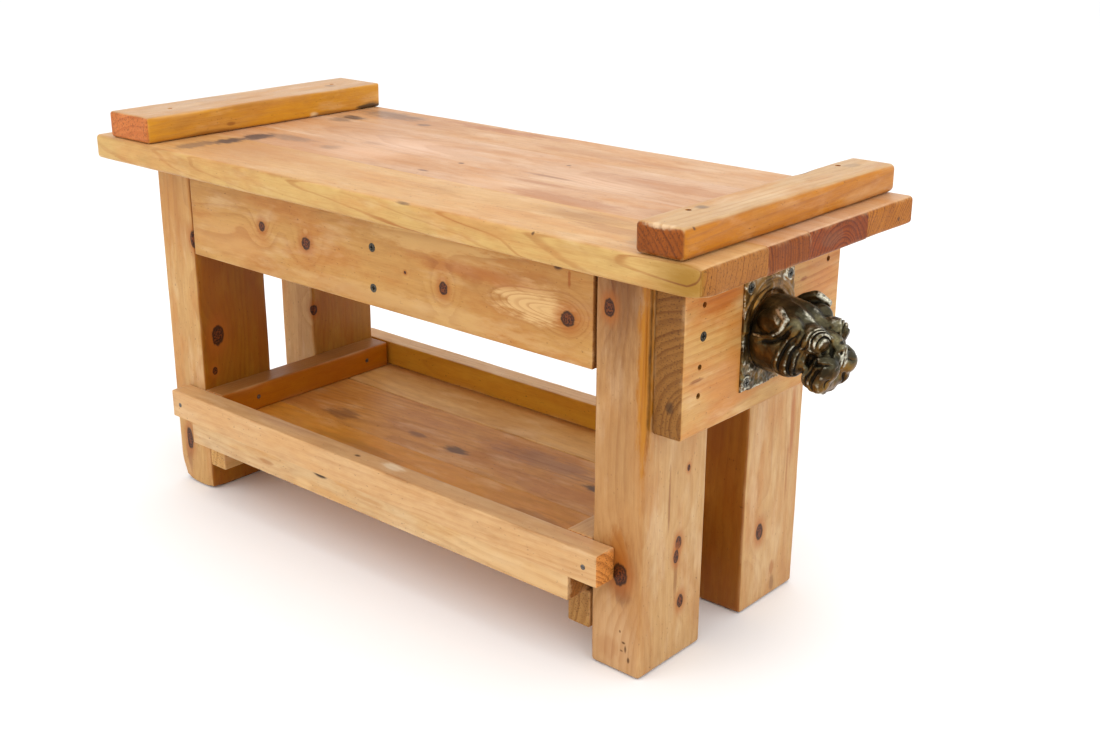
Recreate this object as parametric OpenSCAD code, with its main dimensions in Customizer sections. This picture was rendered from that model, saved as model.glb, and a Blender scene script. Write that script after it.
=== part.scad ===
// Small pine workbench with battens across its ends, a tray shelf and a cast bulldog head.
// +X runs along the bench towards the head, -Y is the front, +Z is up, and the feet stand on z = 0.

/* [Frame] */
// Length of the leg frame over its outer faces
frame_length = 470; // [440:5:500]
// Width of the leg frame over its outer faces
frame_width = 176; // [172:1:190]
// Height of the work surface above the floor
bench_height = 280.5; // [270:0.5:320]

/* [Legs] */
// Face width of each left leg
left_leg_width = 40; // [37:0.5:42]
// Face width of each right leg
right_leg_width = 38.5; // [37:0.5:42]
// Depth of each leg, front to back
leg_depth = 65; // [60:1:70]
// Radius of the long edges of a leg
leg_round = 3.5; // [1:0.5:5]

/* [Top] */
// Thickness of the top
top_thickness = 18; // [16:0.5:22]
// Widths of the glued boards, front to back
top_board_widths = [62.5, 43, 66.5, 58]; // [30:0.5:80]
// Overhang of the top past the left legs
top_overhang_left = 36.5; // [30:0.5:45]
// Overhang of the top past the right legs
top_overhang_right = 54.5; // [48:0.5:60]
// Radius of the worn outer edges of the top
top_round = 3; // [1:0.5:5]

/* [Battens] */
// Width of the left batten
left_batten_width = 48.5; // [40:0.5:55]
// Height of the left batten above the top
left_batten_height = 19.5; // [15:0.5:25]
// Width of the right batten
right_batten_width = 33; // [28:0.5:40]
// Height of the right batten above the top
right_batten_height = 18.5; // [15:0.5:25]
// Ledge of the top that shows outside the left batten
left_batten_ledge = 18.5; // [10:0.5:25]
// The same ledge at the right end
right_batten_ledge = 14; // [10:0.5:20]
// Set-back of the front end of each batten
batten_set_back = 2; // [0:0.5:5]

/* [Aprons] */
// Thickness of the aprons
apron_thickness = 18; // [15:0.5:20]
// Height of the aprons
apron_height = 67.5; // [60:0.5:75]
// Gap between an apron and the left legs
apron_gap_left = 0.8; // [0.3:0.1:2]
// Gap between an apron and the right legs
apron_gap_right = 1.8; // [0.3:0.1:2.5]
// Thickness of the cross pieces between the aprons
cross_piece_thickness = 18; // [15:0.5:20]

/* [End board] */
// Thickness of the board across the right legs
end_board_thickness = 21; // [18:0.5:24]
// Height of that board
end_board_height = 99; // [95:0.5:105]
// Set-back of that board from the front of the legs
end_board_set_back = 5.7; // [4:0.1:8]
// Set-back of that board from the back of the legs
end_board_back_set_back = 1; // [0:0.1:5]

/* [Shelf] */
// Height of the shelf floor above the feet
shelf_height = 64.5; // [62:0.5:70]
// Thickness of the shelf boards
shelf_thickness = 16.8; // [15:0.1:18]
// Widths of the shelf boards, front to back
shelf_board_widths = [74.6, 72.4, 64.2]; // [40:0.1:110]
// Gap between two shelf boards
shelf_seam = 0.4; // [0.2:0.1:1]
// Gap between the shelf boards and the legs
shelf_end_gap = 4.4; // [1:0.1:6]
// Height of the rails around the shelf
rail_height = 21; // [18:0.5:24]
// Depth of the front and back rails, outside the legs
rail_depth = 17.6; // [16:0.1:20]
// Lap of the front and back rails over the faces of the left legs
rail_lap_left = 20; // [15:0.5:25]
// Lap of the same rails over the faces of the right legs
rail_lap_right = 18; // [15:0.5:25]
// Width of the rails across the ends of the shelf
end_rail_width = 21; // [18:0.5:24]
// Gap at the back end of the left end rail
left_rail_gap = 2.5; // [0.5:0.5:4]
// Width of each bearer under the shelf
bearer_width = 18; // [16:0.5:22]
// Height of each bearer
bearer_height = 26; // [22:0.5:30]
// Gap between the right bearer and the legs
right_bearer_gap = 1.5; // [0.2:0.1:2]

/* [Casting] */
// Width of the screw plate
plate_width = 53.4; // [52:0.2:60]
// Height of the screw plate
plate_height = 71.2; // [66:0.2:76]
// Thickness of the screw plate
plate_thickness = 2; // [2:0.1:4]
// Height of the middle of the plate above the floor
plate_middle = 213.2; // [210:0.2:218]
// Side offset of the middle of the plate
plate_offset = 2.8; // [-3:0.2:4]
// Distance of the head's own starting plane in front of the plate
head_set = 1.4; // [0:0.1:3]
// Reach of the head in front of its starting plane
head_reach = 53; // [50:1:56]
// Spacing of the plate's screws across and up
plate_screw_spacing = [43, 59.2]; // [40:0.2:62]

/* [Fasteners] */
// Radius of a screw's shank
screw_radius = 1.6; // [1.4:0.1:2]
// Radius of a screw's head
screw_head_radius = 3; // [2.6:0.1:3.6]
// Radius of a nail's shank
nail_radius = 0.9; // [0.8:0.1:1.2]
// Radius of a nail's head
nail_head_radius = 1.7; // [1.5:0.1:2.2]
// How far the end board's nails are punched below its face
nail_set = 2.5; // [0.5:0.5:4]
// How far the battens' nails are punched below their tops
batten_nail_set = 1; // [0:0.5:3]

/* [Hidden] */

arc_steps = 48;       // $fn of exact round features
head_steps = 20;      // $fn of the balls that the head's hulls are made of
fit_gap = 0.05;       // radial clearance of a fastener in its hole
board_round = 1.2;    // radius of an ordinary board's long edges
shelf_round = 0.8;    // radius of a shelf board's long edges
screw_head_depth = 1.8;
nail_head_depth = 0.8;
counterbore_play = 0.5;
through = 1;          // how far a cutting tool runs past a face

// Places along X, from the middle of the leg frame
frame_left = -frame_length / 2;
frame_right = frame_length / 2;
inner_left = frame_left + left_leg_width;
inner_right = frame_right - right_leg_width;
top_left = frame_left - top_overhang_left;
top_right = frame_right + top_overhang_right;
end_board_face = frame_right + end_board_thickness;
plate_face = end_board_face + plate_thickness;
head_start = plate_face + head_set;
head_tip = head_start + head_reach;
// Shift that puts the origin at the middle of the whole object
frame_shift = -(top_left + head_tip) / 2;

// Places along Y
frame_front = -frame_width / 2;
frame_back = frame_width / 2;
top_width = top_board_widths[0] + top_board_widths[1] + top_board_widths[2] + top_board_widths[3];
top_front = -top_width / 2;
top_back = top_width / 2;
rail_front = frame_front - rail_depth;
rail_back = frame_back + rail_depth;
shelf_width = shelf_board_widths[0] + shelf_board_widths[1] + shelf_board_widths[2];
shelf_front = -shelf_width / 2;
shelf_first_seam = shelf_front + shelf_board_widths[0];
shelf_second_seam = shelf_first_seam + shelf_board_widths[1];
leg_front_middle = frame_front + leg_depth / 2;
leg_back_middle = frame_back - leg_depth / 2;

// Heights
leg_height = bench_height - top_thickness;
apron_bottom = leg_height - apron_height;
shelf_bottom = shelf_height - shelf_thickness;
rail_top = shelf_height + rail_height;
bearer_bottom = shelf_bottom - bearer_height;
bearer_middle = shelf_bottom - bearer_height / 2;
rail_middle = shelf_height + rail_height / 2;

// Lengths of the fasteners
casting_screw_length = 16;
end_screw_length = 45;
end_nail_length = 40;
apron_screw_length = 36;
rail_nail_length = 40;
batten_nail_length = 32;
cleat_screw_length = 36;
bearer_screw_length = 36;
top_screw_length = 44;
shelf_nail_length = 30;

// Where each group's fasteners sit: the middle of the head's outer face
casting_screw_places = [for (side = [-1, 1], level = [-1, 1])
    [plate_face, plate_offset + side * plate_screw_spacing[0] / 2,
     plate_middle + level * plate_screw_spacing[1] / 2]];
end_screw_places = [[end_board_face, -63.2, 223.6], [end_board_face, 66, 205]];
end_nail_places = [for (spot = [[-63.2, 242.5], [-65.8, 205.5], [-66.2, 188], [71.4, 242], [66, 188]])
    [end_board_face - nail_set, spot[0], spot[1]]];
apron_screw_x = 5;
apron_screw_levels = [208, 236];
rail_nail_x = [-204.7, 203.8];
batten_nail_y = [-75.7, 83.9];
left_batten_middle = top_left + left_batten_ledge + left_batten_width / 2;
right_batten_nail_inset = 24.5; // from the batten's outer face
right_batten_nail_x = top_right - right_batten_ledge - right_batten_nail_inset;
cleat_screw_levels = [215, 245];
top_screw_y = [-50, 50];
shelf_nail_y = [-80, -42, -20, 30, 68, 80];
end_rail_nail_y = [-53, 62];
end_rail_nail_length = 38;

pine = "burlywood";
pine_dark = "peru";
bronze = "darkolivegreen";
steel = "slategray";

// ---- Shared shapes ----

// Turns an upward shape so that it points along one of the row's axes
module facing(way) {
    if (way == "+X") rotate([0, 90, 0]) children();
    if (way == "-X") rotate([0, -90, 0]) children();
    if (way == "+Y") rotate([-90, 0, 0]) children();
    if (way == "-Y") rotate([90, 0, 0]) children();
    if (way == "+Z") children();
    if (way == "-Z") rotate([180, 0, 0]) children();
}

// Rectangle with round corners, from the origin
module round_rectangle(width, height, radius) {
    translate([radius, 0]) square([width - 2 * radius, height]);
    translate([0, radius]) square([width, height - 2 * radius]);
    for (x = [radius, width - radius], y = [radius, height - radius])
        translate([x, y]) circle(r = radius, $fn = arc_steps);
}

// Board between two corners, with its long edges along one axis rounded
module board(low, high, along, radius = board_round) {
    size = high - low;
    if (along == "X") translate(low) rotate([90, 0, 90])
        linear_extrude(size[0]) round_rectangle(size[1], size[2], radius);
    if (along == "Y") translate([low[0], high[1], low[2]]) rotate([90, 0, 0])
        linear_extrude(size[1]) round_rectangle(size[0], size[2], radius);
    if (along == "Z") translate(low)
        linear_extrude(size[2]) round_rectangle(size[0], size[1], radius);
}

// Cross-recessed countersunk screw: the head's outer face is at z = 0, the shank points down
module screw(length) {
    slot_width = 0.9;
    slot_depth = 1;
    difference() {
        union() {
            translate([0, 0, -screw_head_depth])
                cylinder(h = screw_head_depth, r1 = screw_radius, r2 = screw_head_radius, $fn = arc_steps);
            translate([0, 0, -length])
                cylinder(h = length - screw_head_depth, r = screw_radius, $fn = arc_steps);
        }
        for (turn = [0, 90]) rotate([0, 0, turn])
            translate([-screw_head_radius * 0.6, -slot_width / 2, -slot_depth])
                cube([screw_head_radius * 1.2, slot_width, slot_depth + through]);
    }
}

// Hole that a screw sits in, with its countersink
module screw_hole(length) {
    translate([0, 0, -screw_head_depth])
        cylinder(h = screw_head_depth, r1 = screw_radius + fit_gap, r2 = screw_head_radius + fit_gap,
                 $fn = arc_steps);
    translate([0, 0, -length - fit_gap])
        cylinder(h = length + fit_gap, r = screw_radius + fit_gap, $fn = arc_steps);
}

// Flat-headed nail, driven until its head is flush
module nail(length) {
    translate([0, 0, -nail_head_depth]) cylinder(h = nail_head_depth, r = nail_head_radius, $fn = arc_steps);
    translate([0, 0, -length]) cylinder(h = length, r = nail_radius, $fn = arc_steps);
}

// Hole that a nail sits in, open as far above its head as it is punched below the face
module nail_hole(length, set_below = 0) {
    translate([0, 0, -nail_head_depth])
        cylinder(h = nail_head_depth + set_below + through, r = nail_head_radius + fit_gap, $fn = arc_steps);
    translate([0, 0, -length - fit_gap])
        cylinder(h = length + fit_gap, r = nail_radius + fit_gap, $fn = arc_steps);
}

// ---- Places of the fasteners, each taking the solid or its hole as a child ----

module at_casting_screws() {
    for (place = casting_screw_places) translate(place) facing("+X") children();
}

module at_end_board_screws() {
    for (place = end_screw_places) translate(place) facing("+X") children();
}

module at_end_board_nails() {
    for (place = end_nail_places) translate(place) facing("+X") children();
}

module at_apron_screws() {
    for (level = apron_screw_levels) {
        translate([apron_screw_x, frame_front, level]) facing("-Y") children();
        translate([apron_screw_x, frame_back, level]) facing("+Y") children();
    }
}

module at_rail_nails() {
    for (x = rail_nail_x) {
        translate([x, rail_front, rail_middle]) facing("-Y") children();
        translate([x, rail_back, rail_middle]) facing("+Y") children();
    }
}

module at_end_rail_nails() {
    for (y = end_rail_nail_y) {
        translate([inner_left + end_rail_width, y, rail_middle]) facing("+X") children();
        translate([inner_right - end_rail_width, y, rail_middle]) facing("-X") children();
    }
}

module at_left_batten_nails() {
    for (y = batten_nail_y)
        translate([left_batten_middle, y, bench_height + left_batten_height - batten_nail_set]) children();
}

module at_right_batten_nails() {
    for (y = batten_nail_y)
        translate([right_batten_nail_x, y, bench_height + right_batten_height - batten_nail_set]) children();
}

module at_cleat_screws() {
    for (y = [leg_front_middle, leg_back_middle], level = cleat_screw_levels) {
        translate([inner_left + cross_piece_thickness, y, level]) facing("+X") children();
        translate([inner_right - cross_piece_thickness, y, level]) facing("-X") children();
    }
}

module at_bearer_screws() {
    for (y = [leg_front_middle, leg_back_middle]) {
        translate([inner_left + bearer_width, y, bearer_middle]) facing("+X") children();
        translate([inner_right - right_bearer_gap - bearer_width, y, bearer_middle]) facing("-X") children();
    }
}

module at_top_screws() {
    for (x = [inner_left + cross_piece_thickness / 2, inner_right - cross_piece_thickness / 2],
         y = top_screw_y)
        translate([x, y, leg_height - apron_height / 2]) facing("-Z") children();
}

module at_shelf_nails() {
    for (x = [inner_left + bearer_width / 2, inner_right - right_bearer_gap - bearer_width / 2],
         y = shelf_nail_y)
        translate([x, y, shelf_height]) children();
}

// ---- Top ----

// Front edge of a top board, counted from the front
function top_board_front(index) = top_front + (index == 0 ? 0 : index == 1 ? top_board_widths[0]
    : index == 2 ? top_board_widths[0] + top_board_widths[1] : top_back - top_front - top_board_widths[3]);

// One board of the top: only the top's own outer edges are rounded
module top_board(index) {
    low = top_board_front(index);
    high = low + top_board_widths[index];
    difference() {
        intersection() {
            board([top_left, top_front, leg_height], [top_right, top_back, bench_height], "X", top_round);
            translate([top_left, low, leg_height]) cube([top_right - top_left, high - low, top_thickness]);
        }
        at_top_screws() screw_hole(top_screw_length);
        at_left_batten_nails() nail_hole(batten_nail_length, batten_nail_set);
        at_right_batten_nails() nail_hole(batten_nail_length, batten_nail_set);
    }
}

module top_front_board() { color(pine) top_board(0); }
module top_second_board() { color(pine_dark) top_board(1); }
module top_third_board() { color(pine_dark) top_board(2); }
module top_back_board() { color(pine) top_board(3); }

// ---- Battens ----

module left_batten() {
    color(pine) difference() {
        board([top_left + left_batten_ledge, top_front + batten_set_back, bench_height],
              [top_left + left_batten_ledge + left_batten_width, top_back, bench_height + left_batten_height],
              "Y", top_round);
        at_left_batten_nails() nail_hole(batten_nail_length, batten_nail_set);
    }
}

module right_batten() {
    color(pine) difference() {
        board([top_right - right_batten_ledge - right_batten_width, top_front + batten_set_back, bench_height],
              [top_right - right_batten_ledge, top_back, bench_height + right_batten_height],
              "Y", top_round);
        at_right_batten_nails() nail_hole(batten_nail_length, batten_nail_set);
    }
}

// ---- Legs ----

// One leg, with every hole that its neighbours' fasteners need
module leg(x_low, x_high, y_low) {
    difference() {
        board([x_low, y_low, 0], [x_high, y_low + leg_depth, leg_height], "Z", leg_round);
        at_end_board_screws() screw_hole(end_screw_length);
        at_end_board_nails() nail_hole(end_nail_length, nail_set);
        at_cleat_screws() screw_hole(cleat_screw_length);
        at_bearer_screws() screw_hole(bearer_screw_length);
        at_rail_nails() nail_hole(rail_nail_length);
        at_end_rail_nails() nail_hole(end_rail_nail_length);
    }
}

module front_left_leg() { color(pine) leg(frame_left, inner_left, frame_front); }
module front_right_leg() { color(pine) leg(inner_right, frame_right, frame_front); }
module back_left_leg() { color(pine) leg(frame_left, inner_left, frame_back - leg_depth); }
module back_right_leg() { color(pine) leg(inner_right, frame_right, frame_back - leg_depth); }

// ---- Aprons and the cross pieces between them ----

module apron(y_low) {
    difference() {
        board([inner_left + apron_gap_left, y_low, apron_bottom],
              [inner_right - apron_gap_right, y_low + apron_thickness, leg_height], "X");
        at_apron_screws() screw_hole(apron_screw_length);
    }
}

module front_apron() { color(pine) apron(frame_front); }
module back_apron() { color(pine) apron(frame_back - apron_thickness); }

// Cross piece between the aprons, from one X to another
module cross_piece(x_low, x_high) {
    difference() {
        board([x_low, frame_front + apron_thickness, apron_bottom],
              [x_high, frame_back - apron_thickness, leg_height], "Y");
        at_apron_screws() screw_hole(apron_screw_length);
        at_cleat_screws() screw_hole(cleat_screw_length);
        at_top_screws() screw_hole(top_screw_length);
        // Counterbores that let the top screws be driven from below
        at_top_screws() cylinder(h = apron_height, r = screw_head_radius + counterbore_play, $fn = arc_steps);
    }
}

module middle_brace() {
    color(pine) cross_piece(apron_screw_x - cross_piece_thickness / 2,
                            apron_screw_x + cross_piece_thickness / 2);
}

module left_cleat() { color(pine) cross_piece(inner_left, inner_left + cross_piece_thickness); }
module right_cleat() { color(pine) cross_piece(inner_right - cross_piece_thickness, inner_right); }

// ---- End board ----

module right_end_board() {
    color(pine) difference() {
        board([frame_right, frame_front + end_board_set_back, leg_height - end_board_height],
              [end_board_face, frame_back - end_board_back_set_back, leg_height], "Y");
        at_end_board_screws() screw_hole(end_screw_length);
        at_end_board_nails() nail_hole(end_nail_length, nail_set);
        at_casting_screws() screw_hole(casting_screw_length);
    }
}

// ---- Shelf ----

module shelf_board(y_low, y_high) {
    difference() {
        board([inner_left + shelf_end_gap, y_low, shelf_bottom],
              [inner_right - shelf_end_gap, y_high, shelf_height], "X", shelf_round);
        at_shelf_nails() nail_hole(shelf_nail_length);
    }
}

module shelf_front_board() { color(pine) shelf_board(shelf_front, shelf_first_seam - shelf_seam / 2); }

module shelf_middle_board() {
    color(pine_dark) shelf_board(shelf_first_seam + shelf_seam / 2, shelf_second_seam - shelf_seam / 2);
}

module shelf_back_board() {
    color(pine) shelf_board(shelf_second_seam + shelf_seam / 2, shelf_front + shelf_width);
}

// Rail on the long edge of the shelf, lapped over the legs
module long_rail(y_low) {
    difference() {
        board([inner_left - rail_lap_left, y_low, shelf_height],
              [inner_right + rail_lap_right, y_low + rail_depth, rail_top], "X");
        at_rail_nails() nail_hole(rail_nail_length);
    }
}

module front_shelf_rail() { color(pine) long_rail(rail_front); }
module back_shelf_rail() { color(pine) long_rail(frame_back); }

// Rail across one end of the shelf, nailed to the legs
module end_rail(x_low, y_high) {
    difference() {
        board([x_low, frame_front, shelf_height], [x_low + end_rail_width, y_high, rail_top], "Y");
        at_end_rail_nails() nail_hole(end_rail_nail_length);
    }
}

module left_shelf_rail() { color(pine_dark) end_rail(inner_left, frame_back - left_rail_gap); }
module right_shelf_rail() { color(pine_dark) end_rail(inner_right - end_rail_width, frame_back); }

module bearer(x_low) {
    difference() {
        board([x_low, frame_front, bearer_bottom], [x_low + bearer_width, frame_back, shelf_bottom], "Y");
        at_bearer_screws() screw_hole(bearer_screw_length);
        at_shelf_nails() nail_hole(shelf_nail_length);
    }
}

module left_bearer() { color(pine) bearer(inner_left); }
module right_bearer() { color(pine) bearer(inner_right - right_bearer_gap - bearer_width); }

// ---- Casting ----

// Ball of the head: how far out from the head's starting plane, to the side and up from the plate's middle
module head_ball(out, side, up, radius) {
    translate([head_start + out, plate_offset + side, plate_middle + up])
        sphere(r = radius, $fn = head_steps);
}

module bulldog_casting() {
    muzzle_radius = 11;
    color(bronze) difference() {
        union() {
            translate([end_board_face, plate_offset - plate_width / 2, plate_middle - plate_height / 2])
                cube([plate_thickness, plate_width, plate_height]);
            // Neck and skull
            hull() {
                translate([end_board_face + 1, plate_offset, plate_middle - 4]) rotate([0, 90, 0])
                    cylinder(h = 1, r = 24, $fn = head_steps);
                head_ball(18, 0, 0, 20);
                head_ball(24, 0, -14, 15);
            }
            // Brow
            hull() {
                head_ball(26, 0, 4, 15);
                for (side = [-10, 10]) head_ball(35, side, 0, 8);
            }
            // Muzzle
            hull() {
                head_ball(30, 0, -12, 15);
                head_ball(head_reach - 7, 0, -6, 7);
            }
            // Hanging lips
            for (side = [-11, 11]) hull() {
                head_ball(head_reach - muzzle_radius, side, -16, muzzle_radius);
                head_ball(34, side, -21, 9);
            }
            // Folded ears
            for (side = [-1, 1]) hull() {
                head_ball(10, side * 15, 14, 7);
                head_ball(18, side * 23, 17, 4.5);
            }
        }
        at_casting_screws() screw_hole(casting_screw_length);
    }
}

// ---- Fasteners ----

module casting_screws() { color(steel) at_casting_screws() screw(casting_screw_length); }
module end_board_screws() { color(steel) at_end_board_screws() screw(end_screw_length); }
module end_board_nails() { color(steel) at_end_board_nails() nail(end_nail_length); }
module apron_screws() { color(steel) at_apron_screws() screw(apron_screw_length); }
module rail_nails() { color(steel) at_rail_nails() nail(rail_nail_length); }
module end_rail_nails() { color(steel) at_end_rail_nails() nail(end_rail_nail_length); }

module batten_nails() {
    color(steel) {
        at_left_batten_nails() nail(batten_nail_length);
        at_right_batten_nails() nail(batten_nail_length);
    }
}

module cleat_screws() { color(steel) at_cleat_screws() screw(cleat_screw_length); }
module bearer_screws() { color(steel) at_bearer_screws() screw(bearer_screw_length); }
module top_screws() { color(steel) at_top_screws() screw(top_screw_length); }
module shelf_nails() { color(steel) at_shelf_nails() nail(shelf_nail_length); }

// Puts a piece in the object's own frame
module placed() {
    translate([frame_shift, 0, 0]) children();
}

placed() top_front_board();
placed() top_second_board();
placed() top_third_board();
placed() top_back_board();
placed() left_batten();
placed() right_batten();
placed() front_left_leg();
placed() front_right_leg();
placed() back_left_leg();
placed() back_right_leg();
placed() front_apron();
placed() back_apron();
placed() middle_brace();
placed() left_cleat();
placed() right_cleat();
placed() right_end_board();
placed() shelf_front_board();
placed() shelf_middle_board();
placed() shelf_back_board();
placed() front_shelf_rail();
placed() back_shelf_rail();
placed() left_shelf_rail();
placed() right_shelf_rail();
placed() left_bearer();
placed() right_bearer();
placed() bulldog_casting();
placed() casting_screws();
placed() end_board_screws();
placed() end_board_nails();
placed() apron_screws();
placed() rail_nails();
placed() end_rail_nails();
placed() batten_nails();
placed() cleat_screws();
placed() bearer_screws();
placed() top_screws();
placed() shelf_nails();
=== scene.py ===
"""Looks of a small pine workbench with a cast bulldog head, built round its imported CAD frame."""

import math
from collections import namedtuple
from functools import partial, reduce

import bmesh
import bpy
import numpy as np
from mathutils import Matrix, Quaternion, Vector


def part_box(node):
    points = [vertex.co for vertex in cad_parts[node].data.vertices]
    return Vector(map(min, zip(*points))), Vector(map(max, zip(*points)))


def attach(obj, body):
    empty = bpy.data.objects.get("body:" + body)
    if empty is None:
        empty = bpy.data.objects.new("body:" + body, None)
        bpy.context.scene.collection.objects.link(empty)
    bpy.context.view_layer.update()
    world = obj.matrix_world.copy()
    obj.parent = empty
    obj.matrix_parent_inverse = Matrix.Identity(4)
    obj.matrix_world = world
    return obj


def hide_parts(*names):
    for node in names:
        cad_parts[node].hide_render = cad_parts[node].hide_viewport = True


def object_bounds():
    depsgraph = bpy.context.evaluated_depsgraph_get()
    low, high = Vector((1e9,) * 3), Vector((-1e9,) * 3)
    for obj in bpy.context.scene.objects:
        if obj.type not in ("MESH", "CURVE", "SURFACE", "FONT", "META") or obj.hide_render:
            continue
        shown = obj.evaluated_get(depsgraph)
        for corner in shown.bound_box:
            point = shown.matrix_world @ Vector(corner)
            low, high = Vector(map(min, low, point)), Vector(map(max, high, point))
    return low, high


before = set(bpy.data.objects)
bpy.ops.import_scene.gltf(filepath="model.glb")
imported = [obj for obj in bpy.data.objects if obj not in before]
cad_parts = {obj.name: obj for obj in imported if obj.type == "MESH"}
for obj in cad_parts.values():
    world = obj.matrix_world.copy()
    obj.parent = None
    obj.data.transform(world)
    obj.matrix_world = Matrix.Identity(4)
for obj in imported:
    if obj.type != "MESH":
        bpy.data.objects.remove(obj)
cad_low, cad_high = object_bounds()

MM = 0.001  # sizes below are in millimetres, and Blender's unit is the metre


# ---- Smooth seeded noise for shapes ----

def lattice(cells, seed):
    """A repeatable number from -1 to 1 for each whole-number point: a hash with large odd numbers."""
    mixed = cells[..., 0] * 73856093 ^ cells[..., 1] * 19349663
    mixed ^= cells[..., 2] * 83492791 ^ (seed * 2654435 + 97)
    mixed = (mixed ^ (mixed >> 13)) * 1274126177 & 0x7FFFFFFF
    mixed = (mixed ^ (mixed >> 15)) * 668265263 & 0x7FFFFFFF
    return mixed / 0x3FFFFFFF - 1


def blend_corners(read, base, part):
    """Blends what is read at the eight grid points round each place, whose part of the way on from the
    first of them is given."""
    total = 0
    for corner in np.ndindex(2, 2, 2):
        share = np.prod(np.where(np.array(corner), part, 1 - part), axis=-1)
        total = total + share * read(base + np.array(corner))
    return total


def value_noise(points, cell, seed):
    """Value noise from -1 to 1 at points, with features about a cell in size."""
    scaled = points / np.asarray(cell, float)
    base = np.floor(scaled).astype(np.int64)
    part = scaled - base
    part = part * part * (3 - 2 * part)
    return blend_corners(partial(lattice, seed=seed), base, part)


def smooth_step(value, low, high):
    share = np.clip((value - low) / (high - low), 0, 1)
    return share * share * (3 - 2 * share)


# ---- Meshes ----

def node_box(node):
    """The lowest and highest corner of a CAD node, in millimetres."""
    return [np.array(corner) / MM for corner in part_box(node)]


def new_piece(name, points, faces, node):
    """A mesh, in millimetres, that stands for one CAD node."""
    mesh = bpy.data.meshes.new(name)
    mesh.from_pydata([tuple(p) for p in points * MM], [], [tuple(f) for f in faces])
    mesh.validate()
    mesh.update()
    piece = bpy.data.objects.new(name, mesh)
    bpy.context.scene.collection.objects.link(piece)
    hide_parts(node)
    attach(piece, "root")
    return piece


def store(piece, name, values):
    """Stores a value at each point of a piece, for its material."""
    data = piece.data.attributes.new(name, "FLOAT", "POINT").data
    data.foreach_set("value", values.astype(np.float32))


def grid_lines(length, radius, step):
    """Places of the mesh lines across one side of a board: close at the rounded edges, then a step apart."""
    edge = [0, 0.4 * radius, 0.7 * radius, radius, 1.7 * radius]
    middle = length - 2 * edge[-1]
    count = max(1, math.ceil(middle / step))
    inner = [edge[-1] + middle * i / count for i in range(1, count)]
    return np.array(edge + inner + [length - e for e in reversed(edge)])


def box_surface(lines):
    """Points and faces of a box's surface, cut at the given lines along each axis."""
    counts = [len(a) for a in lines]
    index = -np.ones(counts, int)
    grid = np.stack(np.meshgrid(*[np.arange(n) for n in counts], indexing="ij"), -1)
    outside = ((grid == 0) | (grid == np.array(counts) - 1)).any(-1)
    index[outside] = np.arange(outside.sum())
    where = grid[outside]
    points = np.stack([lines[a][where[:, a]] for a in range(3)], -1)
    faces = []
    for axis in range(3):
        for end in (0, counts[axis] - 1):
            side = np.take(index, end, axis)
            corners = [side[:-1, :-1], side[1:, :-1], side[1:, 1:], side[:-1, 1:]]
            if (end == 0) != (axis == 1):
                corners.reverse()
            faces.append(np.stack([c.ravel() for c in corners], -1))
    return points, np.concatenate(faces)


def edge_rounding(points, low, high, radius, square):
    """Rounds a box's surface points, except at its square sides: returns the new points and the directions
    they face. A square side is its axis, and whether it is the high one."""
    radius = radius[:, None]
    inner_low, inner_high = low + radius, high - radius
    for axis, is_high in square:
        if is_high:
            inner_high[:, axis] = high[axis]
        else:
            inner_low[:, axis] = low[axis]
    inner = np.clip(points, inner_low, inner_high)
    out = points - inner
    longest = np.abs(out).max(-1, keepdims=True)
    length = np.linalg.norm(out, axis=-1, keepdims=True)
    rounded = inner + out * longest / np.maximum(length, 1e-9)
    flat = np.where(points <= low + 1e-6, -1.0, 0.0) + np.where(points >= high - 1e-6, 1.0, 0.0)
    facing = np.where(length > 1e-6, out / np.maximum(length, 1e-9), flat)
    return rounded, facing / np.maximum(np.linalg.norm(facing, axis=-1, keepdims=True), 1e-9)


def loose_parts(node):
    """The points of each separate solid of a CAD node, in millimetres."""
    mesh = bmesh.new()
    mesh.from_mesh(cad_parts[node].data)
    bmesh.ops.remove_doubles(mesh, verts=mesh.verts, dist=1e-6)
    seen, parts = set(), []
    for start in mesh.verts:
        if start in seen:
            continue
        seen.add(start)
        found = [start]
        for vertex in found:
            for link in vertex.link_edges:
                other = link.other_vert(vertex)
                if other not in seen:
                    seen.add(other)
                    found.append(other)
        parts.append(np.array([v.co for v in found]) / MM)
    mesh.free()
    return parts


def fasteners(node):
    """The middle of the head's outer face, its direction and its radius, for each screw or nail of a node."""
    found = []
    for points in loose_parts(node):
        low, high = points.min(0), points.max(0)
        axis = int(np.argmax(high - low))
        middle = (low + high) / 2
        reach = np.linalg.norm(np.delete(points - middle, axis, 1), axis=1)
        outward = np.zeros(3)
        outward[axis] = 1.0 if points[np.argmax(reach), axis] > middle[axis] else -1.0
        middle[axis] = high[axis] if outward[axis] > 0 else low[axis]
        found.append((middle, outward, reach.max()))
    return found


SCREW_NODES = ("end_board_screws", "apron_screws", "cleat_screws", "bearer_screws", "top_screws")
NAIL_NODES = ("end_board_nails", "rail_nails", "end_rail_nails", "batten_nails", "shelf_nails")
SCREWS = [head for node in SCREW_NODES for head in fasteners(node)]
NAILS = [head for node in NAIL_NODES for head in fasteners(node)]
HOLE_PLAY = 0.15       # room round a head
HEAD_DEPTH = 4         # a head further than this below a face doesn't show in it
SCREW_SINK = 1.9       # depth of a screw's countersink
NAIL_SINK = 0.9        # depth of a nail's head below its own outer face
SCREW_TAPER = 0.55     # width of a screw's hole at its bottom, as a part of its width at the top
HOLE_SIDES = 28
MESH_STEP = 5.0        # size of a board's mesh faces
SHARP_ANGLE = 38       # degrees between faces from which their edge is drawn sharp
WEAR_REACH = (0.2, 3.2)    # how far from an edge its wear starts to fade, and is gone


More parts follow.
